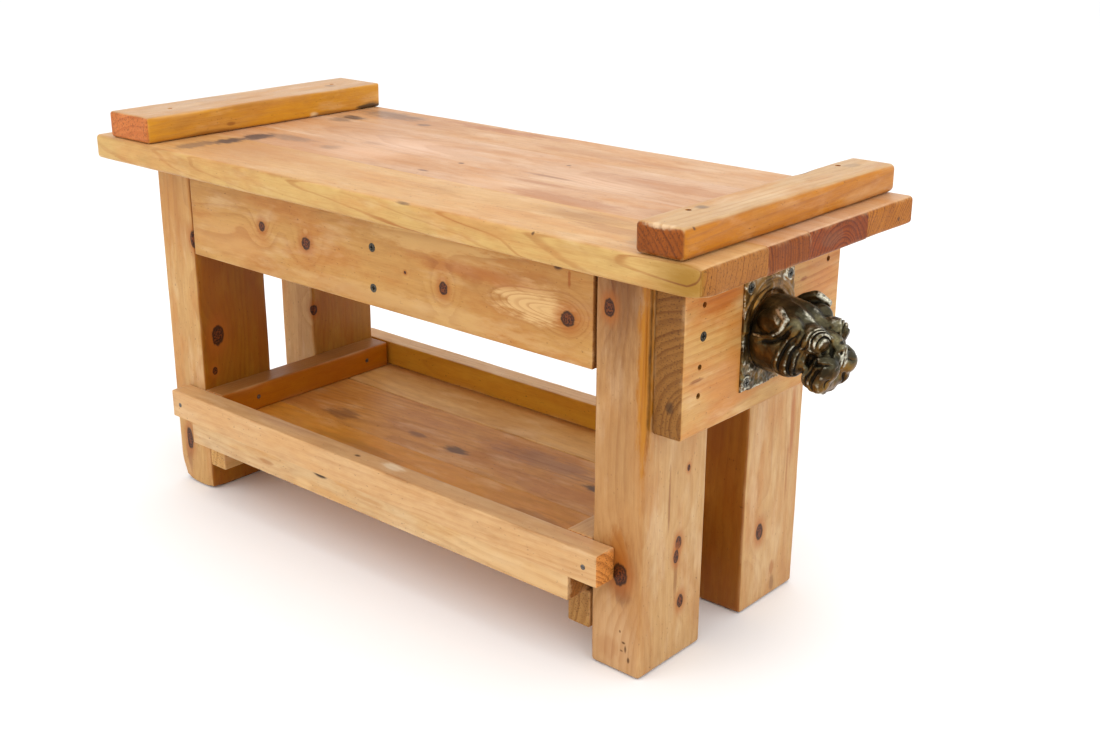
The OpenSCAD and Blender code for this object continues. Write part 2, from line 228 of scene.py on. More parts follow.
def cut_holes(piece, low, high):
    """Sinks a board's surface round each screw and nail whose head shows in it."""
    cutter = bmesh.new()
    for heads, sink, narrow in ((SCREWS, SCREW_SINK, SCREW_TAPER), (NAILS, NAIL_SINK, 1.0)):
        for middle, outward, radius in heads:
            axis = int(np.argmax(np.abs(outward)))
            over = abs((high if outward[axis] > 0 else low)[axis] - middle[axis])
            inside = all(low[a] < middle[a] < high[a] for a in range(3) if a != axis)
            if not inside or over > HEAD_DEPTH:
                continue
            wide = radius + HOLE_PLAY
            turn = Vector(outward).to_track_quat("Z", "Y").to_matrix().to_4x4()
            for start, length, bottom in ((middle - outward * sink, sink, wide * narrow),
                                          (middle, over + 2, wide)):
                place = Matrix.Translation((start + outward * length / 2) * MM) @ turn
                bmesh.ops.create_cone(cutter, cap_ends=True, segments=HOLE_SIDES, radius1=bottom * MM,
                                      radius2=wide * MM, depth=length * MM, matrix=place)
    mesh = bpy.data.meshes.new("cutter")
    cutter.to_mesh(mesh)
    if cutter.verts:
        tool = bpy.data.objects.new("cutter", mesh)
        bpy.context.scene.collection.objects.link(tool)
        cut = piece.modifiers.new("holes", "BOOLEAN")
        cut.object, cut.operation, cut.solver, cut.use_self = tool, "DIFFERENCE", "EXACT", True
        bpy.context.view_layer.update()
        done = piece.evaluated_get(bpy.context.evaluated_depsgraph_get())
        piece.data = bpy.data.meshes.new_from_object(done)
        piece.modifiers.clear()
        bpy.data.objects.remove(tool)
    cutter.free()
    bpy.data.meshes.remove(mesh)


def board(node, material, radius=1.2, square_sides=(), wave=0.15, wear=0.5, dents=(), seed=1):
    """A worn board in the place of a CAD node.
    radius: of its edges. wave: how deep its faces dip. wear: how unevenly its edges are worn.
    dents: (place from the board's middle, width, depth) of single knocks. All in millimetres.
    square_sides: the sides, such as "+y", whose edges stay square."""
    low, high = node_box(node)
    square = [("xyz".index(side[1]), side[0] == "+") for side in square_sides]
    lines = [low[a] + grid_lines(high[a] - low[a], radius, MESH_STEP) for a in range(3)]
    points, faces = box_surface(lines)
    uneven = value_noise(points, 55, seed) + 0.4 * value_noise(points, 15, seed + 50)
    radii = radius * np.clip(1 + wear * uneven, 0.35, 1.7)
    shaped, facing = edge_rounding(points, low, high, radii, square)
    dip = 0.5 + 0.35 * value_noise(points, (60, 60, 30), seed + 9)
    dip = wave * (dip + 0.15 * value_noise(points, 13, seed + 3))
    for place, width, depth in dents:
        away = np.linalg.norm((points - (low + high) / 2 - np.array(place)) / np.array(width), axis=1)
        dip = dip + depth * np.exp(-away * away)
    seam = np.zeros(len(points), bool)
    for axis, is_high in square:
        seam |= np.abs(points[:, axis] - (high if is_high else low)[axis]) < 1e-6
    dip = np.where(seam & (np.abs(facing).max(1) > 0.999), 0, dip)
    piece = new_piece(node + "_wood", shaped - facing * dip[:, None], faces, node)
    cut_holes(piece, low, high)

    # How near each point is to one of the board's edges, from 0 to 1
    points = np.array([v.co for v in piece.data.vertices]) / MM
    gaps = np.minimum(points - low, high - points)
    for axis, is_high in square:
        gaps[:, axis] = points[:, axis] - low[axis] if is_high else high[axis] - points[:, axis]
    store(piece, "wear", 1 - smooth_step(np.sort(gaps, axis=1)[:, 1], *WEAR_REACH))
    piece.data.shade_smooth()
    piece.data.set_sharp_from_angle(angle=math.radians(SHARP_ANGLE))
    piece.data.materials.clear()
    piece.data.materials.append(material)


# ---- Materials ----

def colour(code):
    """A linear colour with alpha from a code such as "C99868"."""
    parts = [int(code[i:i + 2], 16) / 255 for i in (0, 2, 4)]
    return tuple(p / 12.92 if p <= 0.04045 else ((p + 0.055) / 1.055) ** 2.4 for p in parts) + (1.0,)


class Graph:
    """Short ways to add shader nodes to a material. Distances are in millimetres."""

    def __init__(self, name):
        self.material = bpy.data.materials.new(name)
        self.material.use_nodes = True
        self.tree = self.material.node_tree
        self.shader = self.tree.nodes["Principled BSDF"]

    def set(self, socket, value):
        if isinstance(value, bpy.types.NodeSocket):
            self.tree.links.new(value, socket)
        else:
            socket.default_value = value

    def node(self, kind, inputs, **settings):
        made = self.tree.nodes.new("ShaderNode" + kind)
        for key, value in settings.items():
            setattr(made, key, value)
        for key, value in inputs.items():
            self.set(made.inputs[key], value)
        return made

    def math(self, operation, *values):
        return self.node("Math", dict(enumerate(values)), operation=operation).outputs[0]

    def add(self, *values):
        return reduce(partial(self.math, "ADD"), values)

    def times(self, *values):
        return reduce(partial(self.math, "MULTIPLY"), values)

    def line(self, value, slope, start):
        """slope times the value, plus start."""
        return self.math("MULTIPLY_ADD", value, slope, start)

    def vector(self, operation, *values):
        made = self.node("VectorMath", dict(enumerate(values)), operation=operation)
        return made.outputs["Value" if operation == "LENGTH" else "Vector"]

    def split(self, vector):
        return self.node("SeparateXYZ", {0: vector}).outputs

    def smooth(self, value, low, high, start=0.0, end=1.0):
        inputs = {"Value": value, "From Min": low, "From Max": high, "To Min": start, "To Max": end}
        return self.node("MapRange", inputs, interpolation_type="SMOOTHSTEP").outputs[0]

    def noise(self, where, size, detail=2.0, roughness=0.5):
        """Noise from about 0.2 to 0.8 with features about size across, which may differ along each axis."""
        size = (size, size, size) if isinstance(size, (int, float)) else size
        scaled = self.vector("DIVIDE", where, size)
        inputs = {"Vector": scaled, "Scale": 1.0, "Detail": detail, "Roughness": roughness}
        return self.node("TexNoise", inputs).outputs[0]

    def mix(self, share, first, second, blend="MIX"):
        """A mix of two colours, of which the second may be a code."""
        second = colour(second) if isinstance(second, str) else second
        inputs = {0: share, 6: first, 7: second}
        return self.node("Mix", inputs, data_type="RGBA", blend_type=blend).outputs[2]

    def ramp(self, value, *stops):
        made = self.node("ValToRGB", {0: value})
        marks = made.color_ramp.elements
        for i, (place, code) in enumerate(stops):
            mark = marks[i] if i < 2 else marks.new(place)
            mark.position, mark.color = place, colour(code)
        return made.outputs[0]

    def here(self):
        """The place in the object, in millimetres."""
        return self.vector("MULTIPLY", self.node("TexCoord", {}).outputs["Object"], (1 / MM,) * 3)

    def bump(self, height, depth):
        """A bump whose height runs from 0 to 1 over the given depth in millimetres."""
        return self.node("Bump", {"Strength": 1.0, "Distance": depth * MM, "Height": height}).outputs[0]

    def finish(self, **sockets):
        for name, value in sockets.items():
            self.set(self.shader.inputs[name.replace("_", " ")], value)
        return self.material


PITCH = "401E06"    # resin and dirt in open pores
OIL = "FFFBEE"      # the oil's own tint

# Colours of one board: spring wood, summer wood, warmer patches, its end grain's two colours, and the spring
# wood of its narrow faces, which is the first one where it isn't given
Tone = namedtuple("Tone", "light dark flush end_light end_dark edge", defaults=("9C6632", "6E4018", None))
HONEY = Tone("C39A64", "A5703A", "BC8246")
PALE = Tone("CFA87C", "B5804E", "CC9E6C", "D68C44", "A4622A")
BROWN = Tone("B98A5A", "93623A", "A87444")

# How the tree's rings lie in a board, in millimetres. pith: place of the tree's middle from the board's own,
# across its width and thickness. tilt: how far that shifts for each millimetre along the board. start: where
# in each ring its summer wood starts, from 0 to 1. narrow: contrast on the narrow faces.
Grain = namedtuple("Grain", "pith tilt ring contrast sway start narrow",
                   defaults=((10, -60), (0.03, 0.04), 4.5, 0.5, 3.0, 0.3, None))


def spot(g, here, centre, radii, ragged=0.0):
    """Distance from a spot's middle, where 1 is its outline."""
    return g.add(g.vector("LENGTH", g.vector("DIVIDE", g.vector("SUBTRACT", here, centre), radii)), ragged)


def facing(g, direction, sharp=(0.5, 0.85)):
    """1 on the faces that face a direction such as "+x", or both ways along an axis such as "x"."""
    part = g.split(g.node("NewGeometry", {}).outputs["Normal"])["xyz".index(direction[-1])]
    if len(direction) == 1:
        part = g.math("ABSOLUTE", part)
    elif direction[0] == "-":
        part = g.times(part, -1.0)
    return g.smooth(part, *sharp)


def pine(name, node, tone, grain=Grain(), knots=(), swirls=(), blots=(), sides=(), seed=1, polish=0.42,
         dirt=0.25, patches=0.7):
    """Oiled pine for one board. Places and sizes are in millimetres from its middle, along the row's axes.
    knots: (middle, radii). swirls: (middle, radii, how far the rings are pushed out).
    blots: (x, y, z, radius along x, y and z, colour, strength).
    sides: (direction, colour) that the faces facing it are multiplied by: painted shade on faces in the
    bench's shadow."""
    g = Graph(name)
    low, high = node_box(node)
    here = g.vector("MULTIPLY", g.vector("SUBTRACT", g.node("TexCoord", {}).outputs["Object"],
                                         tuple((low + high) / 2 * MM)), (1 / MM,) * 3)

    # The axes along the board, across its width and through its thickness
    size = np.round(high - low, 1)
    axes = sorted(range(3), key=lambda a: (size[a], a), reverse=True)
    split = g.split(here)
    along, width, depth = (split[a] for a in axes)
    shift = tuple(np.random.default_rng(seed).uniform(-900, 900, 3))
    place = g.node("CombineXYZ", {0: along, 1: width, 2: depth}).outputs[0]
    noise = partial(g.noise, g.vector("ADD", place, shift))

    # Rings round the pith, bent by slow sway and pushed aside by the knots
    sway = g.line(noise((200, 40, 40), 2.0, 0.45), 4 * grain.sway, -2 * grain.sway)
    shiver = g.line(noise((45, 8, 8), 2.0), 1.1, -0.55)
    u, v = (g.add(g.line(along, -grain.tilt[i], (width, depth)[i]), -grain.pith[i]) for i in (0, 1))
    rings = g.add(g.vector("LENGTH", g.node("CombineXYZ", {0: u, 1: v}).outputs[0]), sway, shiver)
    ragged = g.line(noise((7, 3, 3), 4.0, 0.6), 0.7, -0.35)
    found = [spot(g, here, middle, radii, ragged) for middle, radii in knots]
    pushes = [(away, -0.07, min(radii) * 3.2) for away, (_, radii) in zip(found, knots)]
    pushes += [(spot(g, here, middle, radii), -1.0, push) for middle, radii, push in swirls]
    for away, fade, push in pushes:
        rings = g.add(rings, g.times(g.math("EXPONENT", g.times(away, away, fade)), push))
    count = g.times(rings, 1 / grain.ring)
    uneven = g.node("TexNoise", {"W": g.times(count, 0.21), "Scale": 1.0, "Detail": 1.0},
                    noise_dimensions="1D")
    count = g.line(uneven.outputs[0], 3.0, count)
    part = g.math("FRACT", count)
    late = g.times(g.smooth(part, grain.start, 0.88), g.smooth(part, 1.0, 0.93))
    strength = g.node("TexWhiteNoise", {"W": g.math("FLOOR", count)}, noise_dimensions="1D").outputs[0]
    late = g.times(late, g.line(strength, 0.65, 0.35))

    # Colour: rings, slow flushes of warmer wood, soft streaks and fine fibres
    cloud = noise((80, 22, 22), 5.0, 0.62)
    faint = g.smooth(noise((110, 26, 26), 1.0), 0.35, 0.65, 0.45, 1.0)
    narrow = facing(g, "xyz"[axes[1]])
    light = g.mix(narrow, colour(tone.light), tone.edge or tone.light)
    more = 0.0 if grain.narrow is None else grain.narrow - grain.contrast
    contrast = g.line(narrow, more, grain.contrast)
    shade = g.mix(g.times(late, faint, contrast), light, tone.dark)
    shade = g.mix(g.smooth(cloud, 0.42, 0.64, 0.0, patches), shade, tone.flush)
    shade = g.mix(g.smooth(noise((75, 5, 5), 4.0, 0.65), 0.5, 0.75, 0.0, 0.25), shade, tone.dark)
    pale = g.mix(0.3, light, "FFF4E0")
    shade = g.mix(g.smooth(noise((55, 16, 16), 4.0, 0.6), 0.5, 0.72, 0.0, 0.4), shade, pale)
    fibre = noise((22, 0.6, 0.6), 3.0, 0.6)
    wool = g.line(noise((12, 4.5, 4.5), 4.0, 0.65), 0.5, g.times(fibre, 0.5))
    mottle = g.ramp(wool, (0.25, "606060"), (0.55, "BCBCBC"), (0.8, "E0E0E0"))
    shade = g.mix(0.45, shade, mottle, "SOFT_LIGHT")

    # End grain is darker, and its rings are plain to see
    end = facing(g, "xyz"[axes[0]], (0.45, 0.8))
    pores = noise(0.9, 2.0, 0.7)
    end_shade = g.mix(g.line(pores, 0.4, g.times(late, 0.85)), colour(tone.end_light), tone.end_dark)
    end_shade = g.mix(g.smooth(cloud, 0.4, 0.7, 0.0, 0.4), end_shade, tone.end_dark)
    end_shade = g.mix(g.smooth(noise((4, 1, 1.4), 2.0, 0.7), 0.55, 0.66, 0.0, 0.7), end_shade, PITCH)
    shade = g.mix(end, shade, end_shade)
    # Faces that face a given direction are multiplied by a colour: painted shade on faces in the bench's
    # shadow
    for direction, code in sides:
        shade = g.mix(facing(g, direction), shade, code, "MULTIPLY")

    # Handling: paler rubbed edges, brown dirt in patches, and blots that let the rings show through, which
    # are stains and, on the front right leg, painted shade and painted shadow
    worn = g.node("Attribute", {}, attribute_name="wear", attribute_type="GEOMETRY").outputs["Fac"]
    rub = noise((60, 14, 14), 3.0, 0.6)
    shade = g.mix(g.times(worn, g.smooth(rub, 0.45, 0.7, 0.0, 0.3)), shade, "E3BE92")
    shade = g.mix(g.times(worn, g.smooth(rub, 0.5, 0.3, 0.0, 0.45)), shade, "8A5224")
    grime = g.smooth(noise((60, 20, 20), 4.0, 0.65), 0.52, 0.8, 0.0, dirt)
    shade = g.mix(grime, shade, "80502A")
    shade = g.mix(g.smooth(noise((2.6, 1.3, 1.3), 1.0), 0.72, 0.77, 0.0, 0.5), shade, PITCH)
    blur = g.line(noise((18, 4, 4), 5.0, 0.7), 2.4, -1.2)
    ringed = g.mix(g.times(late, contrast), colour("FFFFFF"), "C09468")
    for *place, code, strength in blots:
        across = sorted(place[3:])[1]
        large = across > 12
        away = spot(g, here, place[:3], place[3:], g.times(blur, 0.4 if large else min(1, across / 6)))
        stain_and_shade = g.mix(1.0, ringed, code, "MULTIPLY")
        shade = g.mix(g.smooth(away, 1.3, 0.1 if large else 0.5, 0.0, strength), shade, stain_and_shade)

    # Knots: a halo of resin, a dark rim and a cracked core with rings of its own
    dark_knot = 0.0
    grit = g.noise(here, 1.3, 3.0, 0.7)
    core, rim, halo = "70360E", "200C02", "A05818"
    for away in found:
        shade = g.mix(g.smooth(away, 3.0, 0.9, 0.0, 0.7), shade, halo)
        shade = g.mix(g.smooth(away, 1.25, 0.95, 0.0, 0.92), shade, rim)
        cracked = g.line(g.math("SINE", g.times(away, 13)), 0.03, grit)
        inside = g.mix(g.smooth(cracked, 0.42, 0.6), colour(core), rim)
        shade = g.mix(g.smooth(away, 0.95, 0.65), shade, inside)
        dark_knot = g.math("MAXIMUM", dark_knot, g.smooth(away, 1.15, 0.95))
    shade = g.mix(1.0, shade, OIL, "MULTIPLY")

    # Finish: a soft oil polish, open pores, rings that stand a little proud
    rough = g.line(noise((40, 15, 15), 3.0, 0.6), 0.24, polish - 0.12)
    rough = g.line(grime, 0.25, g.line(end, 0.16, rough))
    relief = g.add(g.times(late, 0.3), g.times(fibre, 0.8), g.times(noise((11, 4, 4), 3.0), 0.7))
    relief = g.add(relief, g.times(pores, end, 0.8), g.times(dark_knot, -0.5))
    return g.finish(Base_Color=shade, Roughness=rough, Normal=g.bump(relief, 0.12), Specular_IOR_Level=0.2)


# ---- The bench ----

# Shapes and colours that boards share
TOP = dict(radius=3.0, wear=0.3, wave=0.15)
LEG = dict(radius=2.4, wear=0.3, wave=0.12)
RAIL = dict(radius=1.4, wear=0.25, wave=0.12)
SHELF = dict(radius=0.8, wear=0.2)
HIDDEN = dict(radius=1.0, wear=0.2)
INK, FADED_INK, TAN, RUST, DOT = "33303A", "6A5850", "B8804A", "A87048", "4A3020"
# On the next line, the second colour is painted shade down a leg's rounded corner, and the third and fourth
# multiply faces in shadow as painted shade
PIT, PAINTED_CORNER_SHADE, DEEP_SHADE, PAINTED_FACE_SHADE, TANNED = "5E3C1C", "AE7014", "C49E38", "FFE465", "8A5C38"

# Each board's node, colours, shape and looks
BOARDS = (
    # The top's boards and the two battens across it
    ("top_front_board", Tone("C89F6E", "A0642C", "C48C50", "A66C2E", "743E10", edge="C8A468"),
     dict(TOP, square_sides=("+y",),
          dents=[((54, -30, 9), (5, 2, 2), 0.8), ((281, -31, 0), (6, 6, 30), 2.6)]),
     dict(grain=Grain((-95, 17), (0.05, 0.0), 3.6, 0.35, 4.0, 0.78, 0.95), patches=0.55,
        blots=[(-150, 10, 9, 80, 40, 4, "B07A48", 0.7), (-184, 20, 9, 9, 14, 4, INK, 0.85),
        (-190, -4, 9, 9, 20, 4, FADED_INK, 0.6), (-60, 6, 9, 60, 16, 4, TAN, 0.35),
        (160, 16, 9, 40, 13, 4, "9A6A3C", 0.6), (224, -2, 9, 9, 16, 4, "94806A", 0.5),
        (196, 4, 9, 30, 9, 4, "A8744A", 0.5), (54, -31, 9, 7, 3, 1.6, "40342C", 0.8),
        (162, -31, 8, 1.2, 2, 1.3, DOT, 0.8), (272, -31, 0, 30, 5, 20, "946A1C", 0.9)])),
    ("top_second_board", Tone("C59C7C", "A8744C", "BE8858", "8E4808", "5C2600"),
     dict(TOP, square_sides=("-y", "+y")),
     dict(grain=Grain((-140, -20), (0.05, 0.03), 2.6, 0.35), patches=0.8,
        blots=[(-150, 0, 9, 70, 30, 4, "B4805A", 0.6), (-182, -10, 9, 10, 14, 4, INK, 0.85),
        (-160, 6, 9, 24, 7, 4, FADED_INK, 0.5), (-110, 2, 9, 9, 6, 4, "80644E", 0.6),
        (-3, -9, 9, 5, 2, 3, "6A4A3A", 0.7), (-30, 4, 9, 44, 10, 4, TAN, 0.5),
        (-76, 6, 9, 40, 26, 4, "DDB69C", 0.55), (60, -6, 9, 36, 20, 4, "DEB898", 0.4),
        (120, -10, 9, 46, 10, 4, RUST, 0.6), (80, 14, 9, 30, 4, 3, RUST, 0.6),
        (205, 2, 9, 30, 14, 4, "9E6840", 0.55)])),
    ("top_third_board", Tone("C8A286", "AA7A54", "C08C60", "904206", "5C2000"),
     dict(TOP, square_sides=("-y", "+y")),
     dict(grain=Grain((4, -32), (0.0, 0.06), 2.8, 0.4), patches=0.7,
        blots=[(-150, 10, 9, 70, 36, 4, "B4845E", 0.6), (-190, 30, 9, 11, 10, 4, FADED_INK, 0.6),
        (-98, -22, 9, 12, 5, 4, "96745F", 0.55), (0, -30, 9, 2.5, 2, 3, DOT, 0.8),
        (75, -22, 9, 24, 2.5, 3, "8A6048", 0.6), (60, 14, 9, 2, 1.5, 3, DOT, 0.7),
        (-70, -12, 9, 56, 26, 4, "DEB8A2", 0.5), (110, -16, 9, 40, 16, 4, "DDB69C", 0.4),
        (-40, 16, 9, 70, 8, 4, TAN, 0.4), (150, 6, 9, 70, 12, 4, RUST, 0.45),
        (215, 22, 9, 20, 10, 4, "98684A", 0.5), (281, -8, 0, 4, 12, 5, "7A5A48", 0.3)])),
    ("top_back_board", Tone("C79E7A", "A8764A", "C08A58", "B4701E", "7E420C"),
     dict(TOP, square_sides=("-y",)),
     dict(grain=Grain((60, -60), (0.04, 0.03), 2.6, 0.4), patches=0.8,
        blots=[(-140, 0, 9, 80, 34, 4, "B07E58", 0.75), (-190, -22, 9, 14, 8, 4, INK, 0.8),
        (-172, 6, 9, 30, 12, 4, FADED_INK, 0.6), (-124, -8, 9, 7, 4, 3, "5A4A44", 0.6),
        (-60, 16, 9, 60, 7, 4, "A06038", 0.6), (70, -8, 9, 80, 8, 4, RUST, 0.4),
        (281, 10, -3, 4, 1.6, 1.6, DOT, 0.7)])),
    ("left_batten", Tone("BC946A", "A0703E", "BE8640", "C8763A", "B4622C", edge="CA8E26"),
     dict(radius=2.4, wear=0.5, wave=0.25),
     dict(grain=Grain((20, -60), (0.02, 0.03), 4.0, 0.3), polish=0.34, dirt=0.35,
        blots=[(24, 104, -9, 4, 16, 4, "2E221C", 0.9), (24, 42, -9, 4, 5, 3, "E6CDA6", 0.9),
        (24, 60, -9, 4, 22, 3, "7A4A20", 0.6), (24, -40, -4, 4, 4, 1.6, "8A5420", 0.7),
        (24, -20, 9, 4, 30, 3, "A8701C", 0.6), (24, -60, -8, 4, 26, 2, "8A5A20", 0.6),
        (-10, -30, 10, 12, 30, 3, "A88A72", 0.4), (5, 76, 10, 5, 4, 3, "70503A", 0.6)])),
    ("right_batten", Tone("BE9A6E", "A0642C", "BA7C28", "984E0A", "642E00", edge="B87414"),
     dict(radius=3.4, wear=0.35, wave=0.25, dents=[((-15, 51, 10), (3, 12, 3), 0.8)]),
     dict(grain=Grain((-60, -45), (0.012, 0.03), 3.4, 0.5, 2.0, 0.5, 1.0), polish=0.36,
        blots=[(-15, 51, 9, 3, 13, 3, "2A1C14", 0.85), (-6, -66, 10, 4, 5, 3, "5A4636", 0.7),
        (0, -115, 10, 15, 5, 3, "E0C4A4", 0.7), (4, -20, 10, 14, 40, 3, "D8BE9C", 0.45),
        (16, -104, 8, 2, 1.2, 1.2, DOT, 0.8), (-2, 90, 10, 5, 8, 3, "8A7058", 0.5),
        (17, 20, 2, 3, 90, 3, "A86410", 0.4)])),
    # Legs, aprons, cleats and the board that carries the casting
    ("front_left_leg", HONEY,
     dict(LEG, dents=[((-20, -32, -131), (9, 9, 12), 3.0), ((18, -32, -131), (5, 9, 5), 1.4)]),
     dict(knots=[((20, -32, 75), (3.5, 5, 6)), ((-6, -33, -94), (3.6, 5, 8)), ((20, -17, -5), (5, 5, 7.5)),
        # The +x face below is multiplied by painted shade
        ((20, -22, -33), (4, 2.2, 3))], sides=[("+x", DEEP_SHADE)],
        grain=Grain((30, 40), (0.03, 0.03), 5.0, 0.45), blots=[(0, -33, 100, 22, 4, 40, "B47E40", 0.7),
        (20, -17, -4, 5, 16, 24, "8A4A12", 0.5), (-8, -33, -108, 4, 3, 14, "8A5A34", 0.6),
        (0, 0, -131, 22, 34, 3, "6A4524", 0.6)])),
    ("front_right_leg", Tone("BC9668", "9C6C3C", "B07E4C", edge="BA8E5E"),
     dict(LEG, dents=[((19, -32, 82), (3, 3, 50), 2.5)]),
     dict(knots=[((-9, -33, 105), (3.4, 5, 5)), ((3, -33, -63), (5, 6, 7)), ((19, 13, -2), (4, 1.4, 2)),
        ((19, 5, -50), (5, 2.8, 4)), ((19, 3, -59), (5, 2.4, 4)), ((19, 9, -92), (5, 3, 4.2))],
        # Painted light on this leg: the first blot is painted shadow under the top's overhang; the amber band
        # at x 17.5 down the rounded corner and the thin dark strip at x 19.5 beside it are painted shade in
        # the gap against the end board. The blots at z 20 and -112 make its front darker towards the top.
        grain=Grain((-40, 45), (0.03, 0.03), 5.0, 0.45), blots=[(0, -33, 124, 26, 4, 76, "74461C", 0.85),
        (0, -33, 20, 18, 4, 50, "A0764A", 0.5), (4, -33, -56, 17, 4, 26, "8E5420", 0.6),
        (0, -33, -112, 22, 4, 36, "CCA884", 0.6), (0, -33, -48, 9, 4, 15, "A4662A", 0.65),
        (17.5, -31, 76, 5, 7, 74, PAINTED_CORNER_SHADE, 0.9), (19.5, -29.5, 82, 1.6, 2.5, 56, "241206", 0.9),
        (5, -33, -76, 6, 4, 8, "7E5436", 0.6), (-6, -33, 122, 2, 4, 10, "7A4A20", 0.7),
        (19, -6, -18, 3, 1.2, 22, "8A5A34", 0.7), (19, 3, -70, 4, 2, 18, "8E6238", 0.7),
        (7, -33, -109, 1.5, 3, 0.9, PIT, 0.9), (8.5, -33, -113, 0.8, 3, 2.6, PIT, 0.9),
        (11, -33, -120, 1, 3, 2, PIT, 0.9), (4, -33, -102, 0.8, 3, 1, PIT, 0.8),
        (5.5, -33, -115, 1.3, 3, 0.8, PIT, 0.7), (-4, -33, -116, 10, 4, 9, "A8703E", 0.4)])),
    ("back_left_leg", HONEY, LEG,
     # Its +x face is multiplied by painted shade
     dict(knots=[((20, -31, -7), (3, 3.4, 4)), ((-20, 6, 40), (5, 4, 6))], sides=[("+x", "D2B468")],
        grain=Grain((50, 20), (0.02, 0.04), 5.0, 0.45))),
    ("back_right_leg", Tone("BE986A", "9E6E40", "B4804E"), LEG,
     # Its -y face, in the shade between the legs, is multiplied by painted shade
     dict(knots=[((19, -13, -77), (5, 3.6, 5.4)), ((10, 33, 30), (4, 5, 6))], sides=[("-y", "C89C50")],
        grain=Grain((-20, 50), (0.03, 0.02), 5.0, 0.45), blots=[(19, 5, -110, 4, 2.6, 5, "A0683A", 0.7),
        (19, 6, -123, 4, 3, 6, "80583C", 0.6), (19, 21, -6, 4, 3, 34, "A8683C", 0.7),
        (19, 17, -40, 4, 1.2, 24, "9A6236", 0.6)])),
    ("front_apron", Tone("BC8E50", "9E6428", "B47636"), dict(radius=1.0, wear=0.2, wave=0.12),
     dict(knots=[((-111, -10, 2), (3.2, 6, 3.4)), ((-63, -10, -2), (4.2, 6, 4.4)),
        ((71, -10, -8), (3.4, 6, 4)), ((175, -10, -6), (5, 8, 4.6)), ((36, -10, -4), (1, 4, 1))],
        swirls=[((150, -10, -4), (32, 9, 9), 27)],
        grain=Grain((-15, -55), (0.04, 0.03), 4.2, 0.5, 4.0, 0.45),
        blots=[(150, -10, 0, 74, 6, 24, "A26C38", 0.7), (146, -10, -2, 30, 6, 12, "D6B07C", 0.9),
        (71, -10, -2, 3, 3, 2.6, "D2AC7A", 0.8), (-63, -10, 6, 2.6, 3, 2.6, "CFA56C", 0.7),
        (60, -10, 20, 66, 4, 9, "CFA970", 0.7), (167, -10, 25, 3.4, 4, 2.6, "4A2C14", 0.9),
        (176, -10, 19, 1.2, 4, 6, "9A5418", 0.8), (90, -10, 7, 62, 4, 5, "A8642C", 0.6),
        (-150, -10, -14, 50, 4, 18, "CBA06A", 0.6), (40, -10, -26, 150, 4, 7, "C8A06C", 0.6)])),
    ("back_apron", HONEY, HIDDEN,
     dict(knots=[((60, 10, 6), (4, 7, 3.6)), ((-96, 10, -12), (3, 6, 3))])),
    ("middle_brace", BROWN, HIDDEN, {}),
    ("left_cleat", BROWN, HIDDEN, {}),
    ("right_cleat", BROWN, HIDDEN, {}),
    ("right_end_board", Tone("C69C62", "A4642A", "C07A36", "90622C", "704416"),
     dict(radius=1.6, wear=0.3, wave=0.15),
     dict(grain=Grain((-40, 30), (0.03, 0.02), 4.6, 0.6), blots=[(10, -71, -15, 3, 7, 1.2, "8A5226", 0.8),
        (10, 41, 22, 3, 4, 1.4, "8A5030", 0.7), (10, -48, 30, 3, 24, 9, "B4621E", 0.6),
        (10, 60, 16, 3, 24, 30, "B87848", 0.5), (2, -84, -30, 3, 3, 4, "4A3018", 0.8)])),
    # The tray shelf, its rails and its bearers
    ("shelf_front_board", Tone("D49138", "A96924", "C2842C", edge="CCAB82"),
     dict(SHELF, square_sides=("+z",)),
     dict(grain=Grain((20, -50), (0.04, 0.03), 3.6, 0.4), patches=0.45, dirt=0.3,
        blots=[(-40, -37, 8, 7, 3, 1.8, "2A1810", 0.95), (-102, -37, 1, 10, 3, 1.8, "A26C3C", 0.7),
        (10, -37, 4, 16, 3, 1.8, "B4824E", 0.6), (-60, -37, -4, 10, 3, 4, "DCB888", 0.6),
        (120, 10, 8, 30, 9, 4, "7A4A20", 0.4), (-60, 16, 8, 50, 8, 4, "9A6828", 0.4),
        (150, -37, 0, 70, 4, 12, "DCBA8E", 0.5)])),
    ("shelf_middle_board", Tone("CB8F46", "A16430", "B8773A"), SHELF,
     dict(grain=Grain((-30, -40), (0.04, 0.03), 3.4, 0.5), dirt=0.35,
        blots=[(-118, -21, 8, 18, 9, 4, TANNED, 0.75), (-150, 1, 8, 22, 12, 4, "BC7A30", 0.7),
        (-43, -12, 8, 10, 4, 3, TANNED, 0.8), (0, -15, 8, 12, 5, 3, "5E4232", 0.85),
        (122, 1, 8, 12, 6, 3, "4E3424", 0.85), (70, 13, 8, 50, 12, 4, "8C6450", 0.5)])),
    ("shelf_back_board", Tone("D8A969", "AD7844", "C48F4D"), SHELF,
     dict(grain=Grain((10, -60), (0.04, 0.03), 4.6, 0.5))),
    ("front_shelf_rail", PALE, dict(RAIL, square_sides=("-z",)),
     dict(grain=Grain((-30, -28), (0.02, 0.03), 4.2, 0.4), blots=[(25, 3, 10, 10, 4, 3, "EAD8BE", 0.8),
        (-8, 0, 10, 3, 1.6, 2, "4A2E1C", 0.9), (-90, 4, 10, 50, 5, 3, "B89070", 0.5),
        (190, 4, 10, 20, 6, 3, "C89070", 0.2)])),
    # The shelf rails' faces towards the inside of the bench, and the left rail's top, are multiplied by
    # painted shade
    ("back_shelf_rail", PALE, dict(RAIL, wave=0.5),
     dict(sides=[("-y", PAINTED_FACE_SHADE)])),
    ("left_shelf_rail", PALE, RAIL,
     dict(sides=[("+x", "D8A018"), ("+z", "C0A47C")])),
    ("right_shelf_rail", PALE, RAIL,
     dict(sides=[("-x", PAINTED_FACE_SHADE)])),
